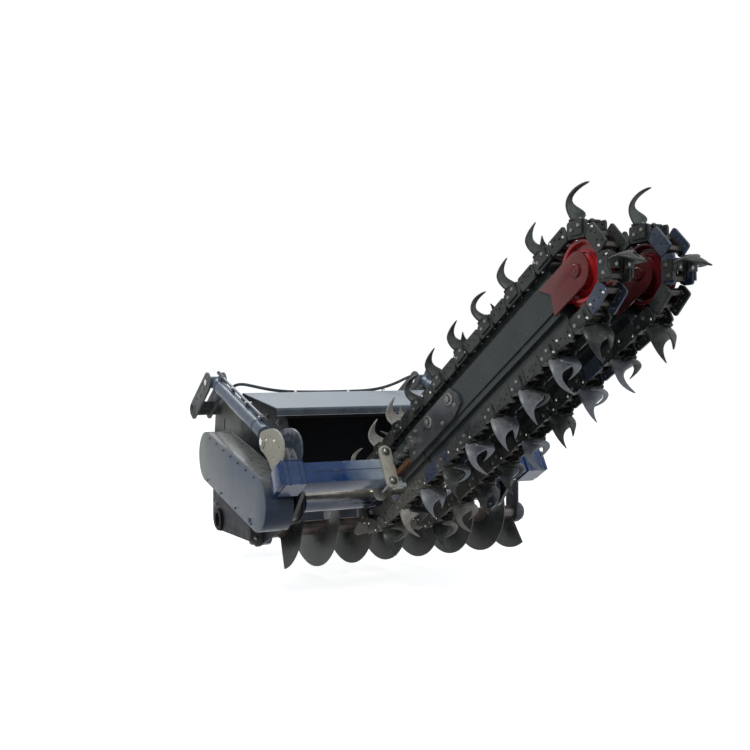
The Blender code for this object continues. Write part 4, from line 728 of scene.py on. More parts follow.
turned(bm, [(0, 0)] + [(x + 0.817, r) for x, r in steps] + [(1.427, 0)], (-0.817, 0, 0), TO_RIGHT, 64)
for x in (-0.232, 0.222):
    ring(bm, 0.0615, 0.076, 0.010, (x, 0, 0), TO_RIGHT, 48)
put("drive_shaft_turned", bm, on_frame, [sleeve], "drive_shaft", ["drive_shaft"])
for side, face, sign in (("left", LEFT_FACE, -1), ("right", RIGHT_FACE, 1)):
    bm = bmesh.new()
    turned(
        bm,
        [
            (0.0003, 0.0358), (0.0003, 0.100), (0.010, 0.100), (0.012, 0.098), (0.012, 0.075), (0.0597, 0.075),
            (0.0617, 0.073), (0.0617, 0.0358)
        ],
        (face, 0, 0), (sign, 0, 0), 48
    )
    if side == "right":
        bolt_circle(bm, (face - 0.012, 0, 0), 0.088, 8, 22, -1, 0.008, 1)
    put(f"housing_{side}", bm, on_frame, [hanger_paint, bolt_dark], "frame", ["pivot_housing_" + side])

# ---------------------------------------------------------------- lift beam, swing arms and lift lugs
# A square tube across the machine, welded from two folded halves, so a seam runs along its rear face.
# Deep blue gloss paint, greyer over the stretch near the left boom; the lugs' collars are wrapped round it with heavy
# welds.
beam_paint = finish(
    "beam_blue", (0.004, 0.028, 0.105), 0.22, coat=0.35, dust=(0.10, 0.14, 0.22), dusting=0.10, scale=4.0,
    scratches=0.6, chips=0.3, bump=0.1,
    fades=[("X", -0.50, -0.28, (0.27, 0.32, 0.37), 0.95), ("X", -0.20, 0.10, (0.012, 0.044, 0.128), 1.0)]
)
collar_paint = finish(
    "collar_blue", (0.008, 0.032, 0.100), 0.24, coat=0.5, dust=(0.12, 0.17, 0.26), dusting=0.18, scale=16,
    scratches=0.3, bump=0.5
)
arm_paint = finish(
    "arm_black", (0.010, 0.013, 0.019), 0.28, coat=0.4, dusting=0.22, scale=8, scratches=0.5, chips=0.4, bump=0.15
)
repaint(arm_paint, "swing_arm_left", "swing_arm_right")
FROM, REAR, BOTTOM, TOP, BEAM_LEFT, BEAM_RIGHT = 0.204, 0.334, -0.047, 0.067, -0.851, 0.741
bm = bmesh.new()
block(bm, (BEAM_LEFT, BEAM_RIGHT), (FROM, REAR), (BOTTOM, TOP))
put("lift_beam_tube", bm, on_boom, [beam_paint], "boom", ["lift_beam"], edge=0.006)
bm = bmesh.new()
block(bm, (-0.71, 0.60), (REAR - 0.001, REAR + 0.0013), (0.0125, 0.0150))
put("beam_seam", bm, on_boom, [arm_paint], "boom")
bm = bmesh.new()
for middle in LUG_MIDDLES.values():
    for x in (middle - 0.056, middle - 0.030, middle + 0.030, middle + 0.056):
        weld(bm, (x, REAR + 0.004, BOTTOM - 0.004), (x, REAR + 0.004, TOP + 0.010), 0.006)
        weld(bm, (x, FROM + 0.01, TOP + 0.010), (x, REAR, TOP + 0.012), 0.006)
    weld(bm, (middle - 0.054, REAR + 0.006, TOP + 0.012), (middle + 0.054, REAR + 0.006, TOP + 0.012), 0.005)
put("collar_welds", bm, on_boom, [collar_paint], "boom")

lug_face = finish(
    "primed_plate", (0.30, 0.29, 0.24), 0.55, metallic=0.15, dust=(0.40, 0.38, 0.32), dusting=0.35, scale=14, chips=0.5,
    scratches=0.5, bare=(0.10, 0.10, 0.10), bump=0.25
)
lug_blue = finish(
    "lug_blue", (0.028, 0.040, 0.070), 0.3, coat=0.35, dust=(0.22, 0.22, 0.20), dusting=0.35, scale=12, chips=0.5,
    scratches=0.5, bump=0.2
)
EYE = (0.149, 0.282)
lug_outline = [
    (REAR + 0.002, TOP + 0.004), (0.352, 0.080), (0.378, 0.098), (0.396, 0.124), (0.403, 0.152), (0.396, 0.186),
    (0.376, 0.220), (0.346, 0.250), (0.308, 0.276), (0.260, 0.300), (0.205, 0.3215), *arc(EYE, 0.055, 62, 235, 16),
    (0.141, 0.208), (0.160, 0.180), (0.176, 0.140), (0.188, 0.100), (0.202, TOP + 0.004),
]
LUG_HALF = 0.0545
for side, middle in LUG_MIDDLES.items():
    for sign in (-1, 1):
        outer = middle + sign * LUG_HALF
        outward = sign == (-1 if side == "left" else 1)
        face = lug_face if side == "left" and outward else lug_blue
        bm = bmesh.new()
        plate(
            bm, lug_outline,
            [
                (*EYE, 0.0195), (0.265, 0.250, 0.0065), (0.310, 0.205, 0.0065), (0.345, 0.150, 0.0065),
                (0.250, 0.140, 0.0055)
            ],
            outer - sign * 0.012, outer, steps=20
        )
        put(
            f"lug_plate_{side}_{'out' if outward else 'in'}", bm, on_boom, [face], "boom",
            ["lift_lug_" + side] if sign < 0 else (), edge=0.0015
        )
    bm = bmesh.new()
    upright, level = (BOTTOM - 0.0063, TOP + 0.0123), (FROM - 0.0003, REAR + 0.0003)
    for a_range, b_range in (((FROM - 0.0063, FROM - 0.0003), upright), ((REAR + 0.0003, REAR + 0.0063), upright),
                             (level, (BOTTOM - 0.0063, BOTTOM - 0.0003)), (level, (TOP + 0.0003, TOP + 0.0123))):
        block(bm, (middle - LUG_HALF, middle + LUG_HALF), a_range, b_range)
    put(f"lug_collar_{side}", bm, on_boom, [collar_paint], "boom")
    bm = bmesh.new()
    for sign in (-1, 1):
        outer = middle + sign * LUG_HALF
        cylinder(bm, (middle + sign * 0.027, *EYE), (sign, 0, 0), 0.0395, 0.019, 0, 28)
        turned(
            bm, [(0, 0.0192), (0, 0.034), (0.005, 0.034), (0.006, 0.032), (0.006, 0.0192)], (outer, *EYE), (sign, 0, 0),
            32, 1
        )
        bolt(bm, (outer, 0.310, 0.205), (sign, 0, 0), 0.006)
        bolt(bm, (outer, 0.205, 0.262), (sign, 0, 0), 0.005)
    put(f"lug_pins_{side}", bm, on_boom, [steel, lug_face if side == "left" else lug_blue], "boom")

# ---------------------------------------------------------------- lift cylinders
# Honed tubes with a welded rear eye and a screwed gland; a steel pipe runs beside each barrel to its rod-end port.
barrel_paint = finish(
    "cylinder_paint", (0.036, 0.062, 0.100), 0.34, coat=0.2, dust=(0.26, 0.27, 0.27), dusting=0.30, scale=10,
    scratches=0.5, chips=0.4
)
pipe_paint = finish("pipe_paint", (0.075, 0.092, 0.12), 0.3, coat=0.3, dusting=0.3, scale=20, chips=0.4)
chrome = finish("chrome_rod", (0.72, 0.72, 0.72), 0.10, metallic=1.0, dusting=0.08, scale=30)
pivot = Vector((0, *PIVOT))
eye_on_frame = Vector(
    (0, EYE[1] * math.sin(RISE) - EYE[0] * math.cos(RISE), EYE[1] * math.cos(RISE) + EYE[0] * math.sin(RISE))
)
along = (eye_on_frame - pivot).normalized()
distance = (eye_on_frame - pivot).length
above = along.cross(Vector(TO_RIGHT)).normalized()
if above.z < 0:
    above = -above
BARREL, ROD = 0.040, 0.022
for side, middle in LUG_MIDDLES.items():
    start = pivot + Vector((middle, 0, 0))
    bm = bmesh.new()
    turned(
        bm,
        [
            (0.030, 0), (0.030, 0.030), (0.050, 0.0395), (0.056, BARREL), (0.884, BARREL), (0.885, 0.0392),
            (0.888, 0.0392), (0.889, BARREL), (0.917, BARREL), (0.920, 0.037), (0.920, 0.0228), (0.885, 0.0228),
            (0.885, 0.032), (0.080, 0.032), (0.080, 0)
        ],
        start, along, 40
    )
    turned(bm, [(0, 0), (0, 0.036), (0.080, 0.036), (0.080, 0)], start - Vector((0.040, 0, 0)), TO_RIGHT, 32)
    turned(bm, [(0, 0), (0.002, 0.019), (0.130, 0.019), (0.132, 0)], start - Vector((0.066, 0, 0)), TO_RIGHT, 24, 1)
    for d in (0.10, 0.80):
        ring(bm, 0.0398, 0.0425, 0.008, start + along * d, along, 36)
    put(
        f"barrel_turned_{side}", bm, on_frame, [barrel_paint, steel], "barrel_" + side,
        ["cylinder_barrel_" + side]
    )
    bm = bmesh.new()
    pipe_side = above * 0.060 + Vector((0.012, 0, 0))
    cylinder(bm, start + along * 0.095 + pipe_side, along, 0.745, 0.0085, 0, 20)
    for d in (0.085, 0.820):
        port = start + along * d
        cylinder(bm, port + above * 0.036, above, 0.026, 0.013, 0, 6)
        bmesh.ops.create_uvsphere(
            bm, u_segments=16, v_segments=10, radius=0.0135, matrix=Matrix.Translation(port + pipe_side)
        )
        cylinder(bm, port + pipe_side + along * (0.010 if d < 0.3 else -0.028), along, 0.018, 0.0125, 0, 6)
    for d in (0.32, 0.58):
        clamp_at = Matrix.Translation(start + along * d + above * 0.052 + Vector((0.008, 0, 0)))
        made = block(bm, (-0.012, 0.012), (-0.010, 0.010), (-0.014, 0.014))
        bmesh.ops.transform(bm, matrix=clamp_at @ along.to_track_quat("Y", "Z").to_matrix().to_4x4(), verts=made)
    cylinder(bm, start + along * 0.085 + pipe_side, (-0.3, 0.75, 0.6), 0.045, 0.0105, 0, 18)
    put(f"barrel_pipe_{side}", bm, on_frame, [pipe_paint], "barrel_" + side)
    bm = bmesh.new()
    turned(
        bm,
        [
            (0.130, 0), (0.130, 0.030), (0.170, 0.030), (0.170, ROD), (distance - 0.036, ROD),
            (distance - 0.030, 0.018), (distance - 0.030, 0)
        ],
        start, along, 32
    )
    turned(
        bm, [(0, 0.021), (0, 0.036), (0.002, 0.038), (0.048, 0.038), (0.050, 0.036), (0.050, 0.021)],
        eye_on_frame + Vector((middle - 0.025, 0, 0)), TO_RIGHT, 32, 1
    )
    put(
        f"rod_turned_{side}", bm, on_frame, [chrome, barrel_paint], "rod_" + side,
        ["cylinder_rod_" + side]
    )

# ---------------------------------------------------------------- booms
# Each boom is a base bolted to the lift beam and a hollow bar that slides on its tongue, held by a slotted clamp plate.
# Near-black paint with a green cast, smooth on the flanks; dust and pale wear where soil runs down to the drive.
boom_paint = finish(
    "boom_black", (0.020, 0.026, 0.027), 0.44, coat=0.15, dust=(0.10, 0.11, 0.10), dusting=0.30, scale=4.5,
    scratches=0.35, bump=0.1, fades=[("Z", DRIVE.z + 0.34, DRIVE.z + 0.16, (0.085, 0.085, 0.080), 0.6)]
)
clamp_paint = finish(
    "clamp_black", (0.030, 0.036, 0.042), 0.38, coat=0.15, dust=(0.20, 0.19, 0.17), dusting=0.35, scale=9,
    scratches=0.4, chips=0.4, bump=0.2, fades=[("Z", DRIVE.z + 0.42, DRIVE.z + 0.26, (0.10, 0.10, 0.095), 0.3)]
)
rust = finish(
    "rusty_bar", (0.105, 0.048, 0.028), 0.75, metallic=0.2, dust=(0.20, 0.12, 0.08), dusting=0.6, scale=20, chips=0.6,
    bare=(0.05, 0.035, 0.03), bump=0.6
)
strap_metal = finish(
    "strap_plate", (0.33, 0.32, 0.27), 0.5, metallic=0.2, dust=(0.46, 0.44, 0.38), dusting=0.4, scale=22, chips=0.6,
    bare=(0.12, 0.11, 0.10), bump=0.3
)
repaint(boom_paint, "boom_base_left", "boom_base_right", "boom_bar_left", "boom_bar_right")
repaint(rust, "tension_bar_left", "tension_bar_right")
BOOMS = {"left": -0.154, "right": 0.154}
SPAN = math.hypot(TAIL.y - DRIVE.y, TAIL.z - DRIVE.z)
for side, middle in BOOMS.items():
    face = middle - 0.0453
    bm = bmesh.new()
    clamp = [(0.52, -0.05), (1.00, -0.05), (1.09, -0.02), (1.085, 0.03), (1.03, 0.09), (0.52, 0.09)]
    plate(bm, clamp, [], face, face - 0.012)
    put(f"clamp_cover_{side}", bm, on_boom, [clamp_paint], "boom", ["clamp_plate_" + side], edge=0.0015)
    bm = bmesh.new()
    for start_s in (0.72, 0.95):
        plate(bm, capsule((start_s, 0.035), (start_s + 0.09, 0.045), 0.011, 10), [], face - 0.0118, face - 0.0126, 1)
        bolt_at = (face - 0.012, start_s + 0.062, 0.042)
        cylinder(bm, bolt_at, TO_LEFT, 0.004, 0.031, 0, 32)
        turned(
            bm, [(0, 0.024), (0, 0.031), (0.006, 0.029), (0.006, 0.024)], (face - 0.016, *bolt_at[1:]), TO_LEFT, 32
        )
        bolt(bm, (face - 0.016, *bolt_at[1:]), TO_LEFT, 0.014, washer=False)
    for s, v in ((0.575, 0.065), (0.575, -0.022), (0.64, 0.066), (0.90, -0.026), (1.04, -0.005)):
        bolt(bm, (face - 0.012, s, v), TO_LEFT, 0.0075)
    cylinder(bm, (face - 0.012, 0.60, 0.022), TO_LEFT, 0.022, 0.030, 0, 6)
    cylinder(bm, (face - 0.034, 0.60, 0.022), TO_LEFT, 0.012, 0.017, 0, 20)
    put(f"clamp_bolts_{side}", bm, on_boom, [bolt_dark, arm_paint], "boom")
    bm = bmesh.new()
    for i in range(12):
        for v, sign in ((0.0905, 1), (-0.0505, -1)):
            bolt(bm, (middle - 0.032, 0.72 + 0.095 * i, v), (0, 0, sign), 0.006)
    put(f"rail_bolts_{side}", bm, on_boom, [boom_paint], "boom")
    # The strap and its backing plate grip the lift beam between two long bolts, with the boom's foot between them.
    near, far = (0.066, 0.136) if side == "left" else (0.050, 0.104)
    sign = -1 if side == "left" else 1
    x_mid, half = middle + sign * (near + far) / 2, (far - near) / 2
    bm = bmesh.new()
    for s_from, s_to in ((0.3466, 0.3643), (0.188, 0.2037)):
        made_before = set(bm.verts)
        plate(bm, capsule((x_mid, -0.073), (x_mid, 0.093), half, 14), [], 0, s_to - s_from)
        fresh = [v for v in bm.verts if v not in made_before]
        bmesh.ops.transform(
            bm, matrix=Matrix(((0, 1, 0, 0), (1, 0, 0, s_from), (0, 0, 1, 0), (0, 0, 0, 1))), verts=fresh
        )
    put(f"strap_{side}", bm, on_boom, [strap_metal], "boom", ["clamp_strap_" + side], edge=0.0025)
    bm = bmesh.new()
    for v in (0.093, -0.073):
        cylinder(bm, (x_mid, 0.178, v), (0, 1, 0), 0.196, 0.0098, 0, 20)
        bolt(bm, (x_mid, 0.3643, v), (0, 1, 0), 0.0145)
        bolt(bm, (x_mid, 0.188, v), (0, -1, 0), 0.0135)
    put(f"strap_bolts_{side}", bm, on_boom, [bolt_dark], "boom")
    # The jack's brackets: two small cheeks with a threaded bar that pushes the outer bar along.
    bm = bmesh.new()
    for s_from, s_to in ((0.392, 0.420), (0.470, 0.500)):
        block(bm, (face - 0.030, face + 0.001), (s_from, s_to), (0.000, 0.064))
    cylinder(bm, (face - 0.018, 0.385, 0.030), (0, 1, 0), 0.150, 0.009, 1, 18)
    for s in (0.372, 0.430, 0.506):
        cylinder(bm, (face - 0.018, s, 0.030), (0, 1, 0), 0.014, 0.0165, 1, 6)
    put(f"jack_{side}", bm, on_boom, [clamp_paint, bolt_dark], "boom")

# ---------------------------------------------------------------- digging chains
# Roller chain down the middle of each boom, with a flat steel plate on either side of every link.
# The plates are black from the paint shop, blue-black where they are new, and pale with dry soil near the drive.
PITCH, LINKS, WRAP, PHASE = 0.1235, 17, 2 * math.pi / 8, 0.15
PITCH_R = PITCH / (2 * math.sin(WRAP / 2))
OFFSET, PAST = PITCH_R * math.cos(WRAP * PHASE), PITCH_R * math.sin(WRAP * PHASE)
track = [(PAST + PITCH * k, OFFSET) for k in range(LINKS + 1)]
for k in (1, 2, 3):
    a = math.pi / 2 - WRAP * (k + PHASE)
    track.append((SPAN + PITCH_R * math.cos(a), PITCH_R * math.sin(a)))
track += [(SPAN - s, -v) for s, v in track]
chain_black = finish(
    "chain_plate", (0.015, 0.019, 0.019), 0.42, metallic=0.15, coat=0.1, dust=(0.15, 0.155, 0.14), dusting=0.38,
    scale=13, chips=0.45, scratches=0.5, bare=(0.16, 0.16, 0.155), bump=0.35,
    fades=[("Z", DRIVE.z + 0.42, DRIVE.z + 0.02, (0.17, 0.155, 0.13), 0.55)]
)
chain_blue = finish(
    "chain_plate_blue", (0.030, 0.042, 0.070), 0.36, metallic=0.2, coat=0.15, dust=(0.15, 0.16, 0.18), dusting=0.35,
    scale=13, chips=0.45, scratches=0.5, bare=(0.18, 0.19, 0.21), bump=0.35
)
roller_metal = finish(
    "roller_metal", (0.045, 0.045, 0.042), 0.32, metallic=0.8, dust=(0.12, 0.10, 0.08), dusting=0.4, scale=25, bump=0.3
)


def shape(build):
    """A small mesh that is stamped many times."""
    bm = bmesh.new()
    build(bm)
    mesh = bpy.data.meshes.new("stamp")
    bm.to_mesh(mesh)
    bm.free()
    return mesh


def stamp(bm, mesh, matrix):
    count = len(bm.verts)
    bm.from_mesh(mesh)
    bm.verts.ensure_lookup_table()
    bmesh.ops.transform(bm, matrix=matrix, verts=bm.verts[count:])


def link_place(middle, i, mirror=False):
    """The frame of link i: X across, Y along its travel, Z outward, in the boom's own axes."""
    start, end = Vector(track[i]), Vector(track[(i + 1) % len(track)])
    t = (end - start).normalized()
    n = Vector((-t.y, t.x))
    at = (start + end) / 2
    sign = -1 if mirror else 1
    return Matrix(((sign, 0, 0, middle), (0, t.x, n.x, at.x), (0, t.y, n.y, at.y), (0, 0, 0, 1)))


half = PITCH / 2 - 0.0026
PIN_AT, ROLLER, PIN = 0.0309, 0.0165, 0.009
PLATE_INSIDE, PLATE_OUTSIDE = 0.042, 0.052
plate_outline = [
    (-half + 0.010, -0.025), (half - 0.010, -0.025), (half, -0.003), (half, 0.033), (half - 0.003, 0.040),
    (half - 0.010, 0.043), (-half + 0.010, 0.043), (-half + 0.003, 0.040), (-half, 0.033), (-half, -0.003)
]


def build_side_plate(bm):
    plate(
        bm, plate_outline,
        [(-0.036, 0.012, 0.0055), (-0.010, 0.024, 0.0050), (0.016, 0.010, 0.0050), (0.040, 0.026, 0.0055)],
        PLATE_INSIDE, PLATE_OUTSIDE, steps=8
    )
    rims = [
        e for e in bm.edges
        if len(e.link_faces) == 2 and e.calc_face_angle(0) > 0.7 and e.calc_length() > 0.006
        and max(abs(v.co.x) for v in e.verts) > 0.0515
    ]
    break_edges(bm, rims, 0.0011, 1)


def build_inner_links(bm):
    for x in (-0.034, 0.026):
        plate(bm, capsule((-PIN_AT, 0), (PIN_AT, 0), 0.019, 6), [], x, x + 0.007)
    for a in (-PIN_AT, PIN_AT):
        cylinder(bm, (-0.026, a, 0), TO_RIGHT, 0.052, ROLLER, 0, 12)
        cylinder(bm, (-0.046, a, 0), TO_RIGHT, 0.092, PIN, 0, 8)


def build_plate_bolts(bm):
    for a, b in ((0.040, 0.003), (-0.042, 0.030)):
        cylinder(bm, (PLATE_OUTSIDE, a, b), TO_RIGHT, 0.0040, 0.0062, 0, 8, 0.0042)


side_plate, inner_links, plate_bolts = shape(build_side_plate), shape(build_inner_links), shape(build_plate_bolts)
for side, middle in BOOMS.items():
    bm, blue = bmesh.new(), bmesh.new()
    for i in range(len(track)):
        for mirror in (False, True):
            target = blue if i in (20, 31, 32) and side == "left" or i in (18, 19, 24) and side == "right" else bm
            stamp(target, side_plate, link_place(middle, i, mirror=mirror))
    put(f"side_plates_{side}", bm, on_boom, [chain_black], "boom", ["digging_chain_" + side], sharp=25)
    put(f"new_plates_{side}", blue, on_boom, [chain_blue], "boom", sharp=25)
    bm = bmesh.new()
    for i in range(len(track)):
        stamp(bm, inner_links, link_place(middle, i))
    put(f"roller_chain_{side}", bm, on_boom, [roller_metal], "boom")
    bm = bmesh.new()
    for i in range(len(track)):
        for mirror in (False, True):
            if chance.random() < (0.7 if 14 < i < 24 else 0.35):
                stamp(bm, plate_bolts, link_place(middle, i, mirror=mirror))
    put(f"plate_bolts_{side}", bm, on_boom, [steel], "boom")

# Every second link carries forged cutters: a foot bolted to the side plate and a claw that curls up to a point.
# In turn: wide on the left and sickle on the right, one broad blade with a spur, then sickle left and wide right.
# Some are grey from wear, and chalky with soil near the drive; a few right-hand ones are missing.
claw_black = finish(
    "claw_black", (0.015, 0.019, 0.019), 0.36, metallic=0.35, coat=0.1, dust=(0.15, 0.15, 0.13), dusting=0.35, scale=15,
    chips=0.5, scratches=0.6, bare=(0.22, 0.22, 0.21), bump=0.3
)
claw_grey = finish(
    "claw_grey", (0.11, 0.12, 0.135), 0.42, metallic=0.5, dust=(0.26, 0.26, 0.24), dusting=0.45, scale=18, chips=0.5,
    scratches=0.5, bare=(0.30, 0.30, 0.29), bump=0.4
)
claw_pale = finish(
    "claw_pale", (0.18, 0.17, 0.15), 0.62, metallic=0.1, dust=(0.42, 0.40, 0.35), dusting=0.6, scale=20, chips=0.4,
    bare=(0.12, 0.11, 0.10), bump=0.5
)
# Rows of a blade from its foot to its point: height over the plates, inner edge and outer edge, both across the chain.
HOOK = [
    (0.086, 0.008, 0.080), (0.104, 0.030, 0.072), (0.127, 0.032, 0.056), (0.149, 0.023, 0.035), (0.166, 0.012, 0.015)
]
WIDE = [(0.002, 0.004, 0.062), (0.020, -0.024, 0.076), (0.045, -0.038, 0.083), (0.068, -0.028, 0.084)] + HOOK
BAND = [(0.002, -0.056, 0.062), (0.020, -0.064, 0.076), (0.045, -0.066, 0.083), (0.068, -0.050, 0.084)] + HOOK
SPUR = [(0.050, -0.062, 0.010), (0.078, -0.044, -0.004), (0.098, -0.030, -0.014), (0.122, -0.021, -0.019)]
SICKLE = [
    (0.002, 0.010, 0.062), (0.020, -0.020, 0.076), (0.045, -0.036, 0.083), (0.062, -0.004, 0.084),
    (0.078, 0.040, 0.082), (0.100, 0.048, 0.076), (0.124, 0.034, 0.062), (0.146, 0.008, 0.034), (0.162, -0.020, -0.004)
]
BLADE_GAUGE, COLUMNS = 0.009, 4
LEAN = [(0.0, 0.0), (0.05, -0.020), (0.09, -0.018), (0.125, 0.005), (0.170, 0.035)]


def build_blade(bm, rows):
    """A blade forged across the travel: it bows back in its middle, and leans back and then forward to its point."""
    edges = []
    for w, inner, outer in rows:
        lean = next(a + (b - a) * (w - low) / (high - low) for (low, a), (high, b) in zip(LEAN, LEAN[1:]) if w <= high)
        if edges:
            made = bmesh.ops.extrude_edge_only(bm, edges=edges)["geom"]
            fresh = sorted((g for g in made if isinstance(g, bmesh.types.BMVert)), key=lambda v: v.co.x)
            edges = [g for g in made if isinstance(g, bmesh.types.BMEdge)]
        else:
            fresh = [bm.verts.new((k, 0, 0)) for k in range(COLUMNS + 1)]
            edges = [bm.edges.new(pair) for pair in zip(fresh, fresh[1:])]
        for k, v in enumerate(fresh):
            u = inner + (outer - inner) * k / COLUMNS
            v.co = (u, lean - 0.030 * math.cos(math.pi / 2 * u / 0.100), 0.040 + w)
    bmesh.ops.recalc_face_normals(bm, faces=bm.faces)
    bmesh.ops.solidify(bm, geom=list(bm.faces), thickness=BLADE_GAUGE)


def build_band(bm):
    build_blade(bm, BAND)
    bm.from_mesh(shape(lambda spur: build_blade(spur, SPUR)))


def shown_mesh(item):
    """The mesh that an object shows, with its modifiers applied; the object itself goes."""
    bpy.context.scene.collection.objects.link(item)
    made = bpy.data.meshes.new_from_object(item.evaluated_get(bpy.context.evaluated_depsgraph_get()))
    bpy.data.objects.remove(item)
    return made


def smooth_stamp(build):
    """A stamp with one subdivision, so that the strip bends smoothly."""
    item = bpy.data.objects.new("forge", shape(build))
    soften = item.modifiers.new("smooth", "SUBSURF")
    soften.levels = soften.render_levels = 1
    soften.boundary_smooth = "PRESERVE_CORNERS"
    return shown_mesh(item)


wide = smooth_stamp(lambda bm: build_blade(bm, WIDE))
sickle = smooth_stamp(lambda bm: build_blade(bm, SICKLE))
band = smooth_stamp(build_band)


def build_root(bm):
    """A folded foot: one leaf bolted against the side plate, one under the blade."""
    block(bm, (0.0515, 0.0600), (-0.034, 0.044), (-0.012, 0.046))
    block(bm, (0.014, 0.0600), (-0.034, 0.010), (0.0432, 0.0520))
    for a, b in ((-0.016, 0.008), (0.026, 0.022)):
        cylinder(bm, (0.0598, a, b), TO_RIGHT, 0.006, 0.0090, 1, 6, 0.0075)
    cylinder(bm, (0.030, -0.004, 0.0518), (0, 0, 1), 0.006, 0.0090, 1, 6, 0.0075)


root = shape(build_root)
NO_RIGHT_CLAW = (7, 13, 17)
lowered = Matrix.Translation((0, 0, 0.018)) @ Matrix.Diagonal((0.97, 1, 0.56, 1))
for side, middle in BOOMS.items():
    meshes = {"black": bmesh.new(), "grey": bmesh.new(), "pale": bmesh.new()}
    roots = bmesh.new()
    for i in range(1, len(track), 2):
        on_left, on_right = ((wide, sickle), (band, None), (sickle, wide))[i // 2 % 3]
        near_drive = i <= 3 or i >= 35
        for made, mirror in ((on_left, True), (on_right, False)):
            tone = "black"
            if near_drive and chance.random() < 0.75:
                tone = "pale"
            elif 21 < i < 36 and chance.random() < 0.55:
                tone = "grey"
            place = link_place(middle, i, mirror=mirror)
            if made and (mirror or i not in NO_RIGHT_CLAW):
                stamp(meshes[tone], made, place if mirror else place @ lowered)
            stamp(roots, root, place)
    for tone, material in (("black", claw_black), ("grey", claw_grey), ("pale", claw_pale)):
        put(f"claws_{tone}_{side}", meshes[tone], on_boom, [material], "boom", sharp=50)
    put(f"claw_roots_{side}", roots, on_boom, [chain_black, bolt_dark], "boom")

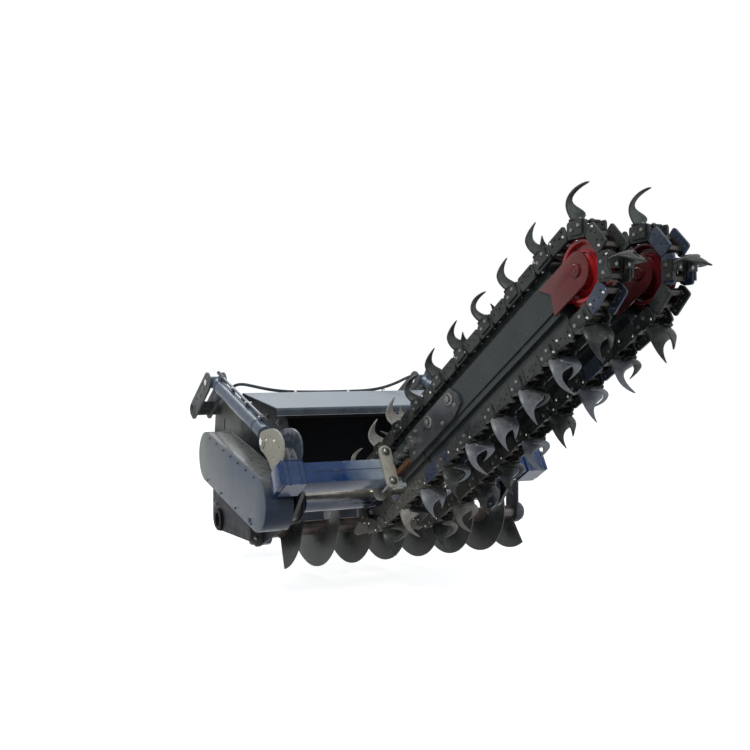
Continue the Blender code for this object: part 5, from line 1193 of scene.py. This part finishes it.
# ---------------------------------------------------------------- tail wheels and forks
# The chain turns round a stepped cast wheel between two fork plates, which end in a welded block on the boom's bar.
# Gloss red; the far wheel, with darker dust, and its fork are painted much darker, as painted shade.
for side, middle in BOOMS.items():
    near = side == "left"
    # The far side's darker red and darker dust are painted shade.
    red = finish(
        f"red_{side}", (0.31, 0.010, 0.013) if near else (0.075, 0.003, 0.006), 0.24, coat=0.5,
        dust=(0.20, 0.10, 0.09) if near else (0.06, 0.04, 0.04), dusting=0.22, scale=7, chips=0.35, scratches=0.5,
        bare=(0.09, 0.03, 0.03), bump=0.1
    )
    fork_red = finish(
        f"fork_red_{side}", (0.095, 0.008, 0.009) if near else (0.045, 0.004, 0.006), 0.34, coat=0.25,
        dust=(0.13, 0.05, 0.045), dusting=0.3, scale=8, chips=0.4, scratches=0.6, bare=(0.05, 0.03, 0.03), bump=0.15
    )
    bm = bmesh.new()
    profile = [
        (-0.040, 0.0168), (-0.040, 0.042), (-0.038, 0.044), (-0.030, 0.046), (-0.014, 0.052), (-0.012, 0.056),
        (-0.012, 0.070), (-0.018, 0.074), (-0.018, 0.080), (-0.012, 0.084), (-0.012, 0.100), (-0.030, 0.107),
        (-0.034, 0.112), (-0.034, 0.121), (-0.031, 0.124), (-0.016, 0.125), (-0.016, 0.140), (-0.014, 0.142)
    ]
    turned(bm, profile + [(-d, r) for d, r in reversed(profile)], (middle, SPAN, 0), TO_RIGHT, 72)
    put(f"wheel_turned_{side}", bm, on_boom, [red], "tail_wheel_" + side, ["tail_wheel_" + side])
    bm = bmesh.new()
    outline = arc((SPAN, 0), 0.074, 90, -90, 28) + [
        (SPAN - 0.205, -0.074), (SPAN - 0.182, 0.012), (SPAN - 0.240, 0.074)
    ]
    for sign in (-1, 1):
        inner = middle + sign * 0.0453
        plate(bm, outline, [(SPAN, 0, 0.0163)], inner, inner + sign * 0.010, steps=24)
    block(bm, (middle - 0.0455, middle + 0.0455), (SPAN - 0.176, SPAN - 0.148), (-0.035, 0.035))
    put(f"fork_plates_{side}", bm, on_boom, [fork_red], "boom", ["tail_fork_" + side], edge=0.0014)
    bm = bmesh.new()
    reach = 0.0553
    turned(
        bm,
        [
            (-reach - 0.010, 0), (-reach - 0.010, 0.010), (-reach - 0.008, 0.011), (-reach - 0.008, 0.016),
            (-reach - 0.010, 0.017), (-reach - 0.010, 0.021), (-reach - 0.007, 0.0255), (-reach - 0.0003, 0.026),
            (-reach - 0.0003, 0.016), (reach + 0.0003, 0.016), (reach + 0.0003, 0.026), (reach + 0.007, 0.0255),
            (reach + 0.010, 0.021), (reach + 0.010, 0)
        ],
        (middle, SPAN, 0), TO_RIGHT, 40
    )
    put(f"axle_turned_{side}", bm, on_boom, [fork_red], "boom", ["tail_axle_" + side])

# ---------------------------------------------------------------- hydraulic hose
# A rubber hose joins the two cylinders over the hood's front edge, with crimped steel ends and clips that hold it down.
rubber = finish("hose_rubber", (0.030, 0.036, 0.046), 0.42, dust=(0.22, 0.22, 0.20), dusting=0.35, scale=30, bump=0.2)
left, right = LUG_MIDDLES["left"], LUG_MIDDLES["right"]
route = [
    (left + 0.085, 1.06, 0.52), (left + 0.10, 0.98, 0.60), (left + 0.16, 0.84, 0.585), (left + 0.30, 0.775, 0.547),
    (-0.25, 0.770, 0.541), (0.00, 0.770, 0.541), (0.22, 0.770, 0.547), (right - 0.26, 0.80, 0.605),
    (right - 0.15, 0.86, 0.645), (right - 0.095, 0.97, 0.60), (right - 0.085, 1.06, 0.52)
]
curve = bpy.data.curves.new("hose_line", "CURVE")
curve.dimensions, curve.use_fill_caps = "3D", True
curve.bevel_depth, curve.bevel_resolution, curve.resolution_u = 0.0095, 4, 8
line = curve.splines.new("NURBS")
line.points.add(len(route) - 1)
line.order_u, line.use_endpoint_u = 4, True
for spot, place in zip(line.points, route):
    spot.co = (*(DRIVE + Vector(place)), 1)
bm = bmesh.new()
bm.from_mesh(shown_mesh(bpy.data.objects.new("hose_curve", curve)))
put("hose_round", bm, Matrix(), [rubber], "frame", ["hydraulic_hose"])
bm = bmesh.new()
for at, ahead in ((route[0], route[1]), (route[-1], route[-2])):
    direction = (Vector(ahead) - Vector(at)).normalized()
    cylinder(bm, Vector(at), direction, 0.040, 0.0115, 0, 20)
    cylinder(bm, Vector(at) - direction * 0.004, direction, 0.014, 0.0145, 0, 6)
for x in (-0.35, 0.0, 0.25):
    block(bm, (x - 0.010, x + 0.010), (0.742, 0.783), (0.528, 0.5315))
    ring(bm, 0.0100, 0.0125, 0.016, (x - 0.008, 0.770, 0.541), TO_RIGHT, 20)
put("hose_fittings", bm, on_frame, [steel], "frame")
